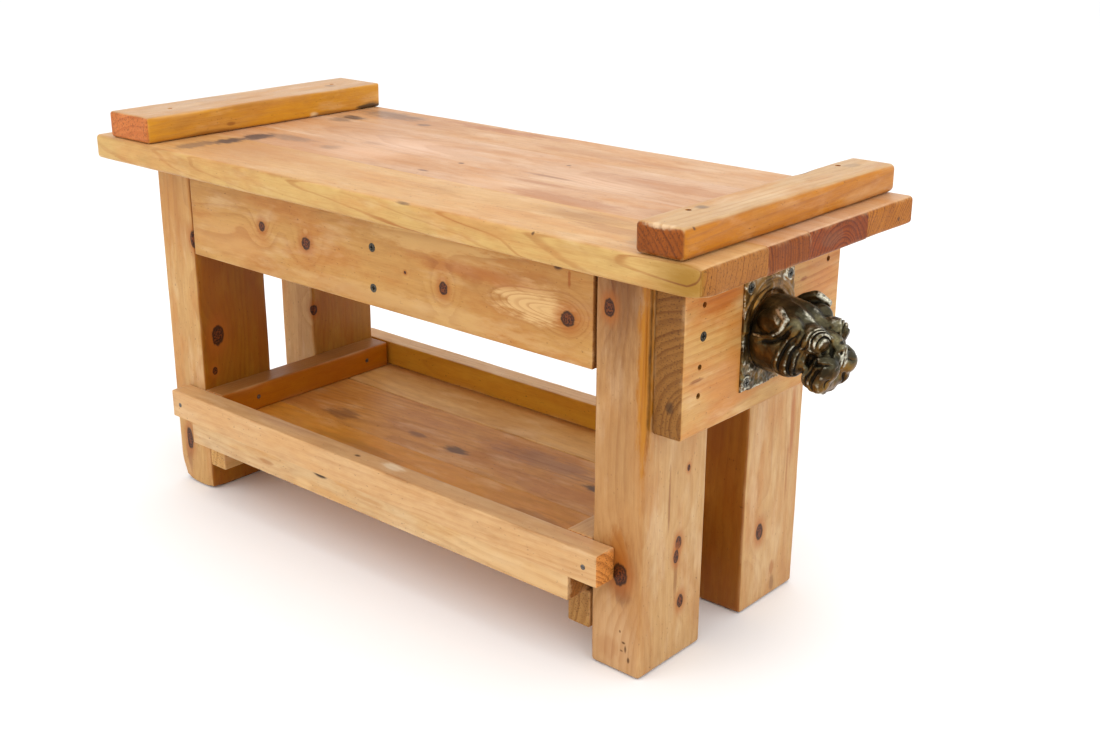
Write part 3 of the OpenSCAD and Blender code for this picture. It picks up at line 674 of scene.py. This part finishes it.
    ("left_bearer", Tone("C39A64", "A5703A", "BC8246", "CFA468", "B48448"), dict(radius=1.2, wear=0.3),
     dict(blots=[(4, -65, 6, 7, 5, 7, "E4C8A0", 0.8)])),
    ("right_bearer", Tone("B98A5A", "93623A", "A87444", "AC8048", "8A5E2E"), dict(radius=1.6, wear=0.3),
     dict(blots=[(8, -65, 6, 6, 5, 5, "4A3018", 0.8), (-4, -65, -4, 7, 5, 9, "B4884E", 0.6)])),
)


# ---- Cast bulldog head ----

CLAY_STEP = 0.55    # size of the clay's grid
CLAY_MARGIN = 1.5   # of the grid round the casting's box
FAR = 99.0          # a distance well outside any shape
HEAD_SET = 1.4      # from the plate's face to the plane that the head's places start at
PLATE_SEED = 401    # of the plate's rough surface
SKIN_SEED = 411     # of the head's
BOSS_RADIUS = 4.4   # of the flat patch round each screw of the plate
SINK_RADIUS = 3.25  # of the countersink in it, at the plate's face
SINK_SLOPE = 0.75   # how fast the countersink narrows


class Clay:
    """A solid on a regular grid, kept as a field that is negative inside it. Millimetres."""

    def __init__(self, low, high, step):
        self.low, self.step = np.array(low, float), step
        counts = np.ceil((np.array(high) - self.low) / step).astype(int) + 1
        self.axes = [self.low[a] + step * np.arange(counts[a]) for a in range(3)]
        self.field = np.full(counts, FAR, np.float32)

    def near(self, low, high):
        """The part of the grid between two corners, and its points."""
        cut = [slice(*np.searchsorted(self.axes[a], [low[a], high[a]])) for a in range(3)]
        grid = np.meshgrid(*[self.axes[a][cut[a]] for a in range(3)], indexing="ij")
        return tuple(cut), np.stack(grid, -1).astype(np.float32)

    def whole(self):
        """Every point of the grid."""
        return self.near(self.low, [a[-1] + 1 for a in self.axes])[1]

    def add(self, shape, soft=2.0, way=1):
        """Adds a shape, or carves it away where way is -1, with an edge blended over the soft distance."""
        for mirrored in shape.sides():
            part, points = self.near(mirrored.low - soft - 3, mirrored.high + soft + 3)
            if points.size:
                self.field[part] = way * smooth_least(way * self.field[part], mirrored.distance(points), soft)

    def carve(self, shape, soft=1.0):
        self.add(shape, soft, -1)

    def slide(self, distance):
        """Measures x from a place that is this much further back."""
        self.low[0] += distance
        self.axes[0] = self.axes[0] + distance

    def read(self, points):
        return grid_sample(self.field, self.low, self.step, points)

    def fold(self, path, width, height, soft=1.2, way=1):
        """A fold of skin along a path, which rises out of the surface and sinks back at its ends, or a crease
        of that depth where way is -1."""
        points = smooth_path(np.array(path, float), 3)
        for _ in range(4):
            out = np.stack([self.read(points + e) - self.read(points - e) for e in np.eye(3) * 0.6], 1)
            out /= np.maximum(np.linalg.norm(out, axis=1, keepdims=True), 1e-6)
            points = points - out * np.clip(self.read(points), -3, 3)[:, None]
        share = np.linspace(0, 1, len(points))
        rise = np.minimum(1, 5 * share * (1 - share) + 0.1)
        radii = width / 2 * (0.5 + 0.5 * rise)
        self.add(Cord(points - way * out * (radii - height * rise)[:, None], radii), soft, way)

    def crease(self, path, width, depth, soft=0.8):
        self.fold(path, width, depth, soft, -1)


def smooth_least(first, second, soft):
    share = np.clip(0.5 + 0.5 * (second - first) / soft, 0, 1)
    return second + (first - second) * share - soft * share * (1 - share)


class Ball:
    """An ellipsoid, made twice, once on each side, unless its middle is on the line of symmetry."""

    def __init__(self, middle, radii, pitch=0.0, yaw=0.0):
        self.middle, self.radii = np.array(middle, float), np.array(radii, float)
        self.pitch, self.yaw = pitch, yaw
        longest = self.radii.max() if pitch or yaw else self.radii
        self.low, self.high = self.middle - longest, self.middle + longest

    def sides(self):
        yield self
        if self.middle[1]:
            yield Ball(self.middle * (1, -1, 1), self.radii, self.pitch, -self.yaw)

    def distance(self, points):
        away = points - self.middle.astype(np.float32)
        if self.pitch or self.yaw:
            turn = Matrix.Rotation(math.radians(self.yaw), 3, "Z")
            turn = turn @ Matrix.Rotation(math.radians(self.pitch), 3, "Y")
            away = away @ np.array(turn, np.float32)
        once = np.linalg.norm(away / self.radii.astype(np.float32), axis=-1)
        twice = np.linalg.norm(away / (self.radii ** 2).astype(np.float32), axis=-1)
        return once * (once - 1) / np.maximum(twice, 1e-6)


class Cord:
    """A round strip through points, with a radius at each. It is made twice, once on each side."""

    def __init__(self, points, radii):
        self.points, self.radii = np.array(points, float), np.array(radii, float)
        self.low = self.points.min(0) - self.radii.max()
        self.high = self.points.max(0) + self.radii.max()

    def sides(self):
        yield self
        if np.abs(self.points[:, 1]).max() > 0:
            yield Cord(self.points * (1, -1, 1), self.radii)

    def distance(self, points):
        least = np.full(points.shape[:-1], FAR, np.float32)
        for start, end, first, last in zip(self.points, self.points[1:], self.radii, self.radii[1:]):
            run = (end - start).astype(np.float32)
            share = np.clip((points - start.astype(np.float32)) @ run / max(float(run @ run), 1e-9), 0, 1)
            away = np.linalg.norm(points - start.astype(np.float32) - share[..., None] * run, axis=-1)
            least = np.minimum(least, away - (first + (last - first) * share).astype(np.float32))
        return least


def rolled(path, *radii):
    """A strip along a smooth path, whose radius runs through the ones given."""
    points = smooth_path(np.array(path, float), 4)
    return Cord(points, np.interp(np.linspace(0, 1, len(points)), np.linspace(0, 1, len(radii)), radii))


def smooth_path(points, steps):
    """A Catmull-Rom curve through the points."""
    padded = np.concatenate([[2 * points[0] - points[1]], points, [2 * points[-1] - points[-2]]])
    made = []
    for i in range(len(points) - 1):
        a, b, c, d = padded[i:i + 4]
        for t in np.arange(steps) / steps:
            made.append(0.5 * (2 * b + (c - a) * t + (2 * a - 5 * b + 4 * c - d) * t ** 2
                               + (3 * b - a - 3 * c + d) * t ** 3))
    return np.array(made + [points[-1]])


def lid(eye, facing, radius, start, end):
    """Points of an arc round an eye, in the plane that faces a direction; 0 degrees is away from the line of
    symmetry and 90 degrees is up."""
    facing = np.array(facing, float) / np.linalg.norm(facing)
    up = np.array([0, 0, 1.0]) - facing * facing[2]
    up /= np.linalg.norm(up)
    side = np.cross(up, facing)
    side *= np.sign(side[1])
    turns = np.radians(np.linspace(start, end, 5))
    return [eye + radius * (math.cos(t) * side + math.sin(t) * up) for t in turns]


def surface_of(field, low, step):
    """Points and faces of the surface where a field on a grid crosses zero (surface nets)."""
    inside = field < 0
    cells = tuple(np.array(field.shape) - 1)
    total = np.zeros(cells + (3,), np.float32)
    count = np.zeros(cells, np.float32)
    for axis in range(3):
        for corner in np.ndindex(2, 2, 2):
            if corner[axis]:
                continue
            far = tuple(1 if a == axis else c for a, c in enumerate(corner))
            first, second = (field[tuple(slice(c, c + n) for c, n in zip(place, cells))]
                             for place in (corner, far))
            crossing = (first < 0) != (second < 0)
            share = np.where(crossing, first / np.where(crossing, first - second, 1), 0)
            for a in range(3):
                total[..., a] += np.where(crossing, corner[a] + (share if a == axis else 0), 0)
            count += crossing
    mixed = count > 0
    index = -np.ones(cells, int)
    index[mixed] = np.arange(mixed.sum())
    points = low + step * (np.argwhere(mixed) + total[mixed] / count[mixed][:, None])
    faces = []
    for axis in range(3):
        u, v = (axis + 1) % 3, (axis + 2) % 3
        first = np.take(inside, range(cells[axis]), axis)
        second = np.take(inside, range(1, cells[axis] + 1), axis)
        for wanted in (True, False):
            at = np.argwhere((first != second) & (first == wanted))
            at = at[(at[:, u] > 0) & (at[:, v] > 0) & (at[:, u] < cells[u]) & (at[:, v] < cells[v])]
            around = []
            for du, dv in ((1, 1), (0, 1), (0, 0), (1, 0)):
                cell = at.copy()
                cell[:, u] -= du
                cell[:, v] -= dv
                around.append(index[tuple(cell.T)])
            faces.append(np.stack(around if wanted else around[::-1], -1))
    return points, np.concatenate(faces)


def grid_sample(values, low, step, points):
    """Values on the grid, read between its points."""
    place = (points - low) / step
    base = np.clip(np.floor(place).astype(int), 0, np.array(values.shape) - 2)
    return blend_corners(lambda at: values[tuple(at.T)], base, place - base)


def sculpt_head(clay):
    """The bulldog: x is out from its starting plane, y to the side and z up from the plate's middle."""
    add, carve, fold, crease = clay.add, clay.carve, clay.fold, clay.crease
    for middle, radii, soft in (
            # Neck, skull, cheeks, face and the roots of the ears
            ((5, 0, -2), (20, 23, 24), 3), ((15.5, 0, 2), (20, 20.5, 18.8), 4),
            ((20, 13, -9), (14, 9.5, 13.5), 4), ((30, 0, -2), (13, 14.5, 13), 5),
            ((23.5, 16.5, 9.5), (8, 6.5, 7), 3),
            # Muzzle with hanging lips
            ((41.5, 0, -9), (10, 13, 9), 3), ((44.5, 10.2, -12.5), (8.6, 8.4, 8.6), 1.8)):
        add(Ball(middle, radii), soft)
    add(Ball((40, 11.2, -19.5), (8.4, 7.2, 9.2), pitch=-24), 2.0)
    # Chin, and brows that bulge round the eyes, with a furrow between them
    add(Ball((37.5, 3.5, -23.5), (8, 8.5, 7.6)), 2.5)
    add(Ball((35.5, 10.6, 3.4), (10, 9.2, 8.8)), 1.8)
    crease([(16, 0, 20), (26, 0, 16), (35, 0, 10), (42, 0, 5)], 7, 1.6, 2.5)
    # Bridge and nose
    add(rolled([(38, 0, 4), (44, 0, 1), (47, 0, -2)], 4, 5, 4.6), 1.6)
    add(Ball((47.8, 0, -3.2), (4.0, 5.6, 4.4)), 0.8)
    carve(rolled([(49.5, 0, 2.6), (48.5, 5, 1.6), (47, 7, -3)], 1.3, 1.2, 1.0), 1.0)
    carve(Ball((51.6, 3.0, -3.6), (2.0, 1.3, 1.7)), 0.7)
    crease([(51.8, 0, -1), (52, 0, -6)], 1.4, 0.7)
    crease([(52, 0, -8), (52, 0, -14), (50, 0, -21)], 3.4, 2.0, 1.2)
    # Hooded eyes: arched lids one over the other, closed below by a lid that droops inwards to a point
    eye = np.array((42.2, 12.0, 2.0))
    facing = (0.78, 0.6, 0.12)
    for radius, width, height in ((9.8, 2.4, 0.5), (7.4, 2.2, 0.8), (5.0, 2.2, 1.1), (2.6, 2.0, 0.9)):
        fold(lid(eye, facing, radius, -16, 176), width, height, 0.5)
    for radius, width, depth in ((8.6, 1.3, 0.7), (6.2, 1.2, 0.9), (3.8, 1.1, 0.8)):
        crease(lid(eye, facing, radius, -10, 180), width, depth, 0.4)
    fold([(37.6, 17.4, 1), (40, 17, -3), (43.2, 14.6, -6.4), (46, 11.6, -8.4)], 2.6, 1.3, 0.6)
    fold([(39.8, 16.2, 0.6), (42.5, 14.6, -2.4), (45, 12, -5.6)], 2.0, 0.7, 0.5)
    crease([(36, 18.4, -1), (39.6, 18, -6), (43, 15.6, -9.4), (47, 11.6, -11)], 2.4, 1.7)
    crease([(46.8, 6.6, 3), (47.8, 8.2, -2), (47.6, 9.6, -7)], 2.4, 1.3)
    # Folds that hang from the brow down the cheek
    folds = (
        [(28.5, 17, 9.5), (25, 20.5, 3), (21, 22.4, -4), (17.5, 22, -13), (17, 19, -19)],
        [(32, 16.8, 8), (29, 20, 1), (25.8, 21.6, -6), (23.5, 20.6, -15), (24, 17, -21)],
        [(34.4, 17.6, 4), (32.4, 19.6, -3), (30, 20.2, -10), (28.4, 18.8, -18), (29, 15, -23)],
    )
    for path in folds:
        fold(path, 4.4, 1.2, 1.1)
    for path in folds:
        crease(np.array(path) + (2.2, 0.4, 0), 1.8, 1.2)
    # Edge of the lips against the cheek, and the folds of the lips down to the jaw
    fold([(36.6, 18, -5), (35.2, 18.8, -11), (33.4, 17.4, -19), (34, 13.5, -26)], 3.6, 1.3, 0.9)
    crease([(39, 17.6, -9), (38, 18.6, -14), (36, 17.6, -20), (36, 13.5, -27)], 1.8, 1.2)
    crease([(46.4, 16.6, -10.5), (43.4, 18, -13.5), (40.6, 18.2, -19), (39.6, 16, -25), (40.4, 12, -29)],
           2.4, 2.0)
    fold([(48.4, 15.4, -13), (45.8, 17, -17), (43.6, 16, -22), (43.2, 12, -26.5)], 2.8, 0.8)
    crease([(50.6, 13.6, -16), (48, 14.6, -20.5), (46, 12.6, -25)], 1.5, 0.8)
    crease([(51, 3, -20), (48.5, 8, -24), (44, 11, -28)], 2.2, 1.4)
    crease([(51.5, 4, -8.5), (51.8, 8, -10.5), (50.5, 12.5, -11.5)], 1.3, 0.6)
    fold([(36.5, 0.01, -31), (41, 3.5, -30.2), (42, 8, -27.5)], 3.2, 1.0)
    # Folded ears: a flap with a rolled front edge and a shallow hollow below the roll
    add(Ball((14.0, 21.0, 11.4), (11.2, 5.0, 8.0), pitch=4, yaw=10), 1.6)
    add(rolled([(5, 15, 14), (11, 18.2, 17.6), (18, 21.2, 19.6), (24.4, 23.6, 16)], 1.6, 2.6, 2.8, 1.8), 1.2)
    add(rolled([(24.6, 24, 15.4), (21, 25.4, 9), (13, 25.8, 4), (3, 24, 3)], 1.8, 1.5, 1.2, 0.8), 1.2)
    carve(Ball((14.5, 28.2, 11.4), (8.0, 3.0, 4.0), pitch=6, yaw=8), 2.2)
    crease([(27, 20, 12), (22.5, 20.6, 5), (14, 22.6, 0.2), (5, 23, -1.4)], 3.0, 1.4)


def sculpt_plate(clay, half_width, half_height, thickness, screws):
    """The rough plate that the head is cast on, with its relief and countersunk holes."""
    whole = clay.whole()
    size = np.array((thickness / 2, half_width, half_height))
    rough = value_noise(whole, 3.1, PLATE_SEED) + 0.5 * value_noise(whole, 1.5, PLATE_SEED + 1)
    low_part = smooth_step(-whole[..., 2], -2, 16)
    face = 0.35 + (0.22 + 0.4 * low_part) * np.clip(rough, -1, 1)
    away = np.abs(whole + (thickness / 2, 0, 0)) - (size - (0, 0.5, 0.5))
    slab = np.linalg.norm(np.maximum(away, 0), axis=-1) + np.minimum(away.max(-1), 0)
    proud = np.where(whole[..., 0] > -thickness / 2, face, 0.0)
    clay.field = np.minimum(clay.field, slab + proud).astype(np.float32)
    # Folds of the collar that run round the neck on the plate
    turns = np.radians(np.linspace(8, 90, 12))
    for size, level in ((2.0, 25.2), (1.5, 28.6), (1.2, 31.6)):
        swell = level + 0.5 * np.sin(5 * turns + level)
        ring = np.stack([np.full(12, -0.6), swell * 0.94 * np.cos(turns), swell * np.sin(turns)], 1)
        clay.add(Cord(ring, size * (0.85 + 0.15 * np.cos(7 * turns + level))), 1.4)
    for side, up in screws:
        part, points = clay.near((-thickness, side - 5, up - 5), (3, side + 5, up + 5))
        flat = np.hypot(points[..., 1] - side, points[..., 2] - up)
        boss = np.maximum(points[..., 0] + 0.05, flat - BOSS_RADIUS)
        cone = flat - (SINK_RADIUS + np.minimum(points[..., 0], 0) * SINK_SLOPE)
        body = smooth_least(clay.field[part], np.maximum(boss, -points[..., 0] - thickness), 0.5)
        clay.field[part] = np.maximum(body, -cone)


def crest(field):
    """How far each point of a field stands proud of its surroundings: above 0.5 on ridges, below in folds."""
    total = 0
    for reach in (2, 4):
        around = sum(np.roll(field, way, axis) for axis in range(3) for way in (-reach, reach)) / 6
        total = total + (around - field) / (CLAY_STEP * reach)
    return 0.5 + total


def bulldog():
    """Sculpts the casting, in the place of its CAD node."""
    low, high = node_box("bulldog_casting")
    heads = fasteners("casting_screws")
    middle = (low + high) / 2
    middle[0] = max(place[0] for place, _, _ in heads)
    reach, half_width, half_height = high - middle
    thickness = middle[0] - low[0]
    clay = Clay(np.array((-thickness - HEAD_SET, -half_width, -half_height)) - CLAY_MARGIN,
                np.array((reach - HEAD_SET, half_width, half_height)) + CLAY_MARGIN, CLAY_STEP)
    sculpt_head(clay)
    clay.slide(HEAD_SET)
    screws = [(place - middle)[1:] for place, _, _ in heads]
    sculpt_plate(clay, half_width, half_height, thickness, screws)
    whole = clay.whole()
    skin = 0.16 * value_noise(whole, 2.6, SKIN_SEED) + 0.09 * value_noise(whole, 1.1, SKIN_SEED + 1)
    clay.field = clay.field + (skin * smooth_step(whole[..., 0], 1.5, 4)).astype(np.float32)
    box = np.abs(whole) - (reach, half_width, half_height)
    box[..., 0] = np.maximum(whole[..., 0] - reach, -whole[..., 0] - thickness)
    clay.field = np.maximum(clay.field, box.max(-1) + 0.02)
    points, faces = surface_of(clay.field, clay.low, clay.step)
    piece = new_piece("bulldog_head", points + middle, faces, "bulldog_casting")
    piece.data.shade_smooth()
    store(piece, "ridge", grid_sample(crest(clay.field), clay.low, clay.step, points))
    piece.data.materials.append(bronze(middle + (HEAD_SET, 0, 0)))


# Where hands have rubbed the casting to pale metal, which is partly painted highlight, from the head's
# starting plane: middle and radii
RUBBED_AND_HIGHLIT = (
    ((38, -12, 6), (9, 9, 8)), ((37, 11, 7), (8, 8, 8)), ((31, -3, 15), (9, 11, 6)), ((49, 0, -8), (8, 8, 8)),
    ((46, 12, -14), (8, 7, 10)), ((42, -12, -28), (5, 5, 4)), ((21, -25, 17), (6, 6, 7)),
    ((22, 22, 18), (6, 6, 6)), ((0, -22, -30), (4, 8, 6)), ((0, 16, 31), (4, 9, 5)),
)


def bronze(start):
    """Olive-grey patina above and brown below, split by which way each face points, the brown partly painted
    shade; gold on the upper plate, pale metal on ridges that is worn bronze and partly painted highlight, and
    black folds.
    """
    g = Graph("cast_bronze")
    here = g.here()
    upward = g.split(g.node("TexCoord", {}).outputs["Normal"])[2]
    ridge = g.node("Attribute", {}, attribute_name="ridge", attribute_type="GEOMETRY").outputs["Fac"]
    broad = g.noise(here, 13, 3.0, 0.6)
    patch = g.noise(here, 6, 3.0, 0.6)
    fine = g.noise(here, 1.8, 4.0, 0.7)
    # Downward faces take a browner colour than upward ones: patina colour, partly painted shade
    below = g.ramp(broad, (0.36, "30220C"), (0.5, "553A12"), (0.64, "77541C"))
    above = g.ramp(broad, (0.36, "2C291C"), (0.52, "4A4430"), (0.66, "6E6648"))
    shade = g.mix(g.smooth(g.add(upward, g.times(broad, 0.8)), 0.1, 0.85), below, above)
    shade = g.mix(g.smooth(fine, 0.5, 0.75, 0.0, 0.45), shade, "1C1810")
    out, _, up = g.split(g.vector("SUBTRACT", here, start))
    upper = g.times(g.smooth(out, 1.4, -0.4), g.smooth(up, 4, 18))
    shade = g.mix(g.times(upper, g.smooth(patch, 0.38, 0.56, 0.35, 0.85)), shade, "8A6026")
    worn = 0.0
    for middle, radii in RUBBED_AND_HIGHLIT:
        worn = g.math("MAXIMUM", worn, g.smooth(spot(g, here, start + middle, radii), 1.2, 0.3))
    # Pale metal on ridges in these zones: worn bronze, and partly painted highlight
    rubbed_and_highlit = g.times(g.smooth(g.line(worn, 0.4, ridge), 0.7, 1.05),
                     g.smooth(g.line(worn, 0.12, patch), 0.46, 0.6), g.smooth(fine, 0.3, 0.55))
    shade = g.mix(g.times(rubbed_and_highlit, 0.9), shade, "D0CCB8")
    folds = g.times(g.smooth(ridge, 0.44, 0.12), g.line(upper, -0.55, 1.0))
    shade = g.mix(g.times(folds, 0.88), shade, "090705")
    rough = g.add(0.2, g.times(fine, 0.28), g.times(folds, 0.3))
    bump = g.bump(g.add(fine, g.times(g.noise(here, 0.7, 2.0), 0.5)), 0.13)
    return g.finish(Base_Color=shade, Metallic=0.85, Roughness=rough, Normal=bump)


def metal(name, light, dark, rough):
    """Dull plated or rusty metal, with fine scratches."""
    g = Graph(name)
    here = g.here()
    patches = g.noise(here, 1.2, 4.0, 0.65)
    shade = g.ramp(patches, (0.35, dark), (0.62, light))
    bump = g.bump(g.add(patches, g.noise(here, (0.15, 0.6, 0.6), 2.0)), 0.05)
    return g.finish(Base_Color=shade, Metallic=1.0, Roughness=g.line(patches, 0.35, rough), Normal=bump)


def dress_fasteners():
    steel = metal("zinc_steel", "6C655A", "2A2620", 0.4)
    iron = metal("nail_iron", "86807A", "4A403A", 0.4)
    dark = metal("dark_screw", "77736A", "26221C", 0.25)
    for nodes, made in ((SCREW_NODES, steel), (NAIL_NODES, iron), (("casting_screws",), dark)):
        for node in nodes:
            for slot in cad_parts[node].material_slots:
                slot.material = made


# ---- Studio ----

def area_light(name, place, target, size, power):
    data = bpy.data.lights.new(name, "AREA")
    data.shape, data.size, data.energy = "SQUARE", size, power
    lamp = bpy.data.objects.new(name, data)
    bpy.context.scene.collection.objects.link(lamp)
    lamp.location = place
    lamp.rotation_euler = (Vector(target) - Vector(place)).to_track_quat("-Z", "Y").to_euler()


def studio():
    """A wide pale floor just under the feet, white surroundings and three soft lights. Metres."""
    scene = bpy.context.scene
    scene.view_settings.view_transform = "Standard"
    scene.world = bpy.data.worlds.new("studio")
    scene.world.use_nodes = True
    background = scene.world.node_tree.nodes["Background"]
    background.inputs["Color"].default_value = (1, 1, 1, 1)
    background.inputs["Strength"].default_value = 1.05

    reach, height = 12.0, -0.0004
    mesh = bpy.data.meshes.new("floor")
    corners = [(x * reach, y * reach, height) for x, y in ((-1, -1), (1, -1), (1, 1), (-1, 1))]
    mesh.from_pydata(corners, [], [(0, 1, 2, 3)])
    floor = bpy.data.objects.new("floor", mesh)
    scene.collection.objects.link(floor)
    mesh.materials.append(Graph("floor_paint").finish(Base_Color=colour("FAFAFA"), Roughness=0.9))

    middle = (cad_low + cad_high) / 2
    area_light("front_light", middle + Vector((-0.7, -1.9, 1.5)), middle, 1.6, 12)
    area_light("side_light", middle + Vector((1.9, -0.3, 1.0)), middle, 1.4, 9)
    area_light("top_light", middle + Vector((0.1, 0.3, 2.0)), middle, 1.8, 12)


def camera():
    """A view from azimuth 40.9 and elevation 19.7 degrees, rolled a little. Metres."""
    azimuth, elevation, roll = (math.radians(angle) for angle in (40.91, 19.72, 0.26))
    back = Vector((math.sin(azimuth) * math.cos(elevation),
                   -math.cos(azimuth) * math.cos(elevation), math.sin(elevation)))
    data = bpy.data.cameras.new("camera")
    data.sensor_width, data.lens = 36.0, 47.44
    data.clip_start, data.clip_end = 0.01, 100
    made = bpy.data.objects.new("camera", data)
    bpy.context.scene.collection.objects.link(made)
    made.location = (0.6831, -0.7134, 0.4859)
    made.rotation_mode = "QUATERNION"
    turn = (-back).to_track_quat("-Z", "Y")
    turn.rotate(Quaternion(back, roll))
    made.rotation_quaternion = turn
    bpy.context.scene.camera = made


FIRST_SEED = 11

studio()
camera()
for seed, (node, tone, shape, looks) in enumerate(BOARDS, FIRST_SEED):
    board(node, pine("pine_" + node, node, tone, seed=seed, **looks), seed=seed, **shape)
bulldog()
dress_fasteners()
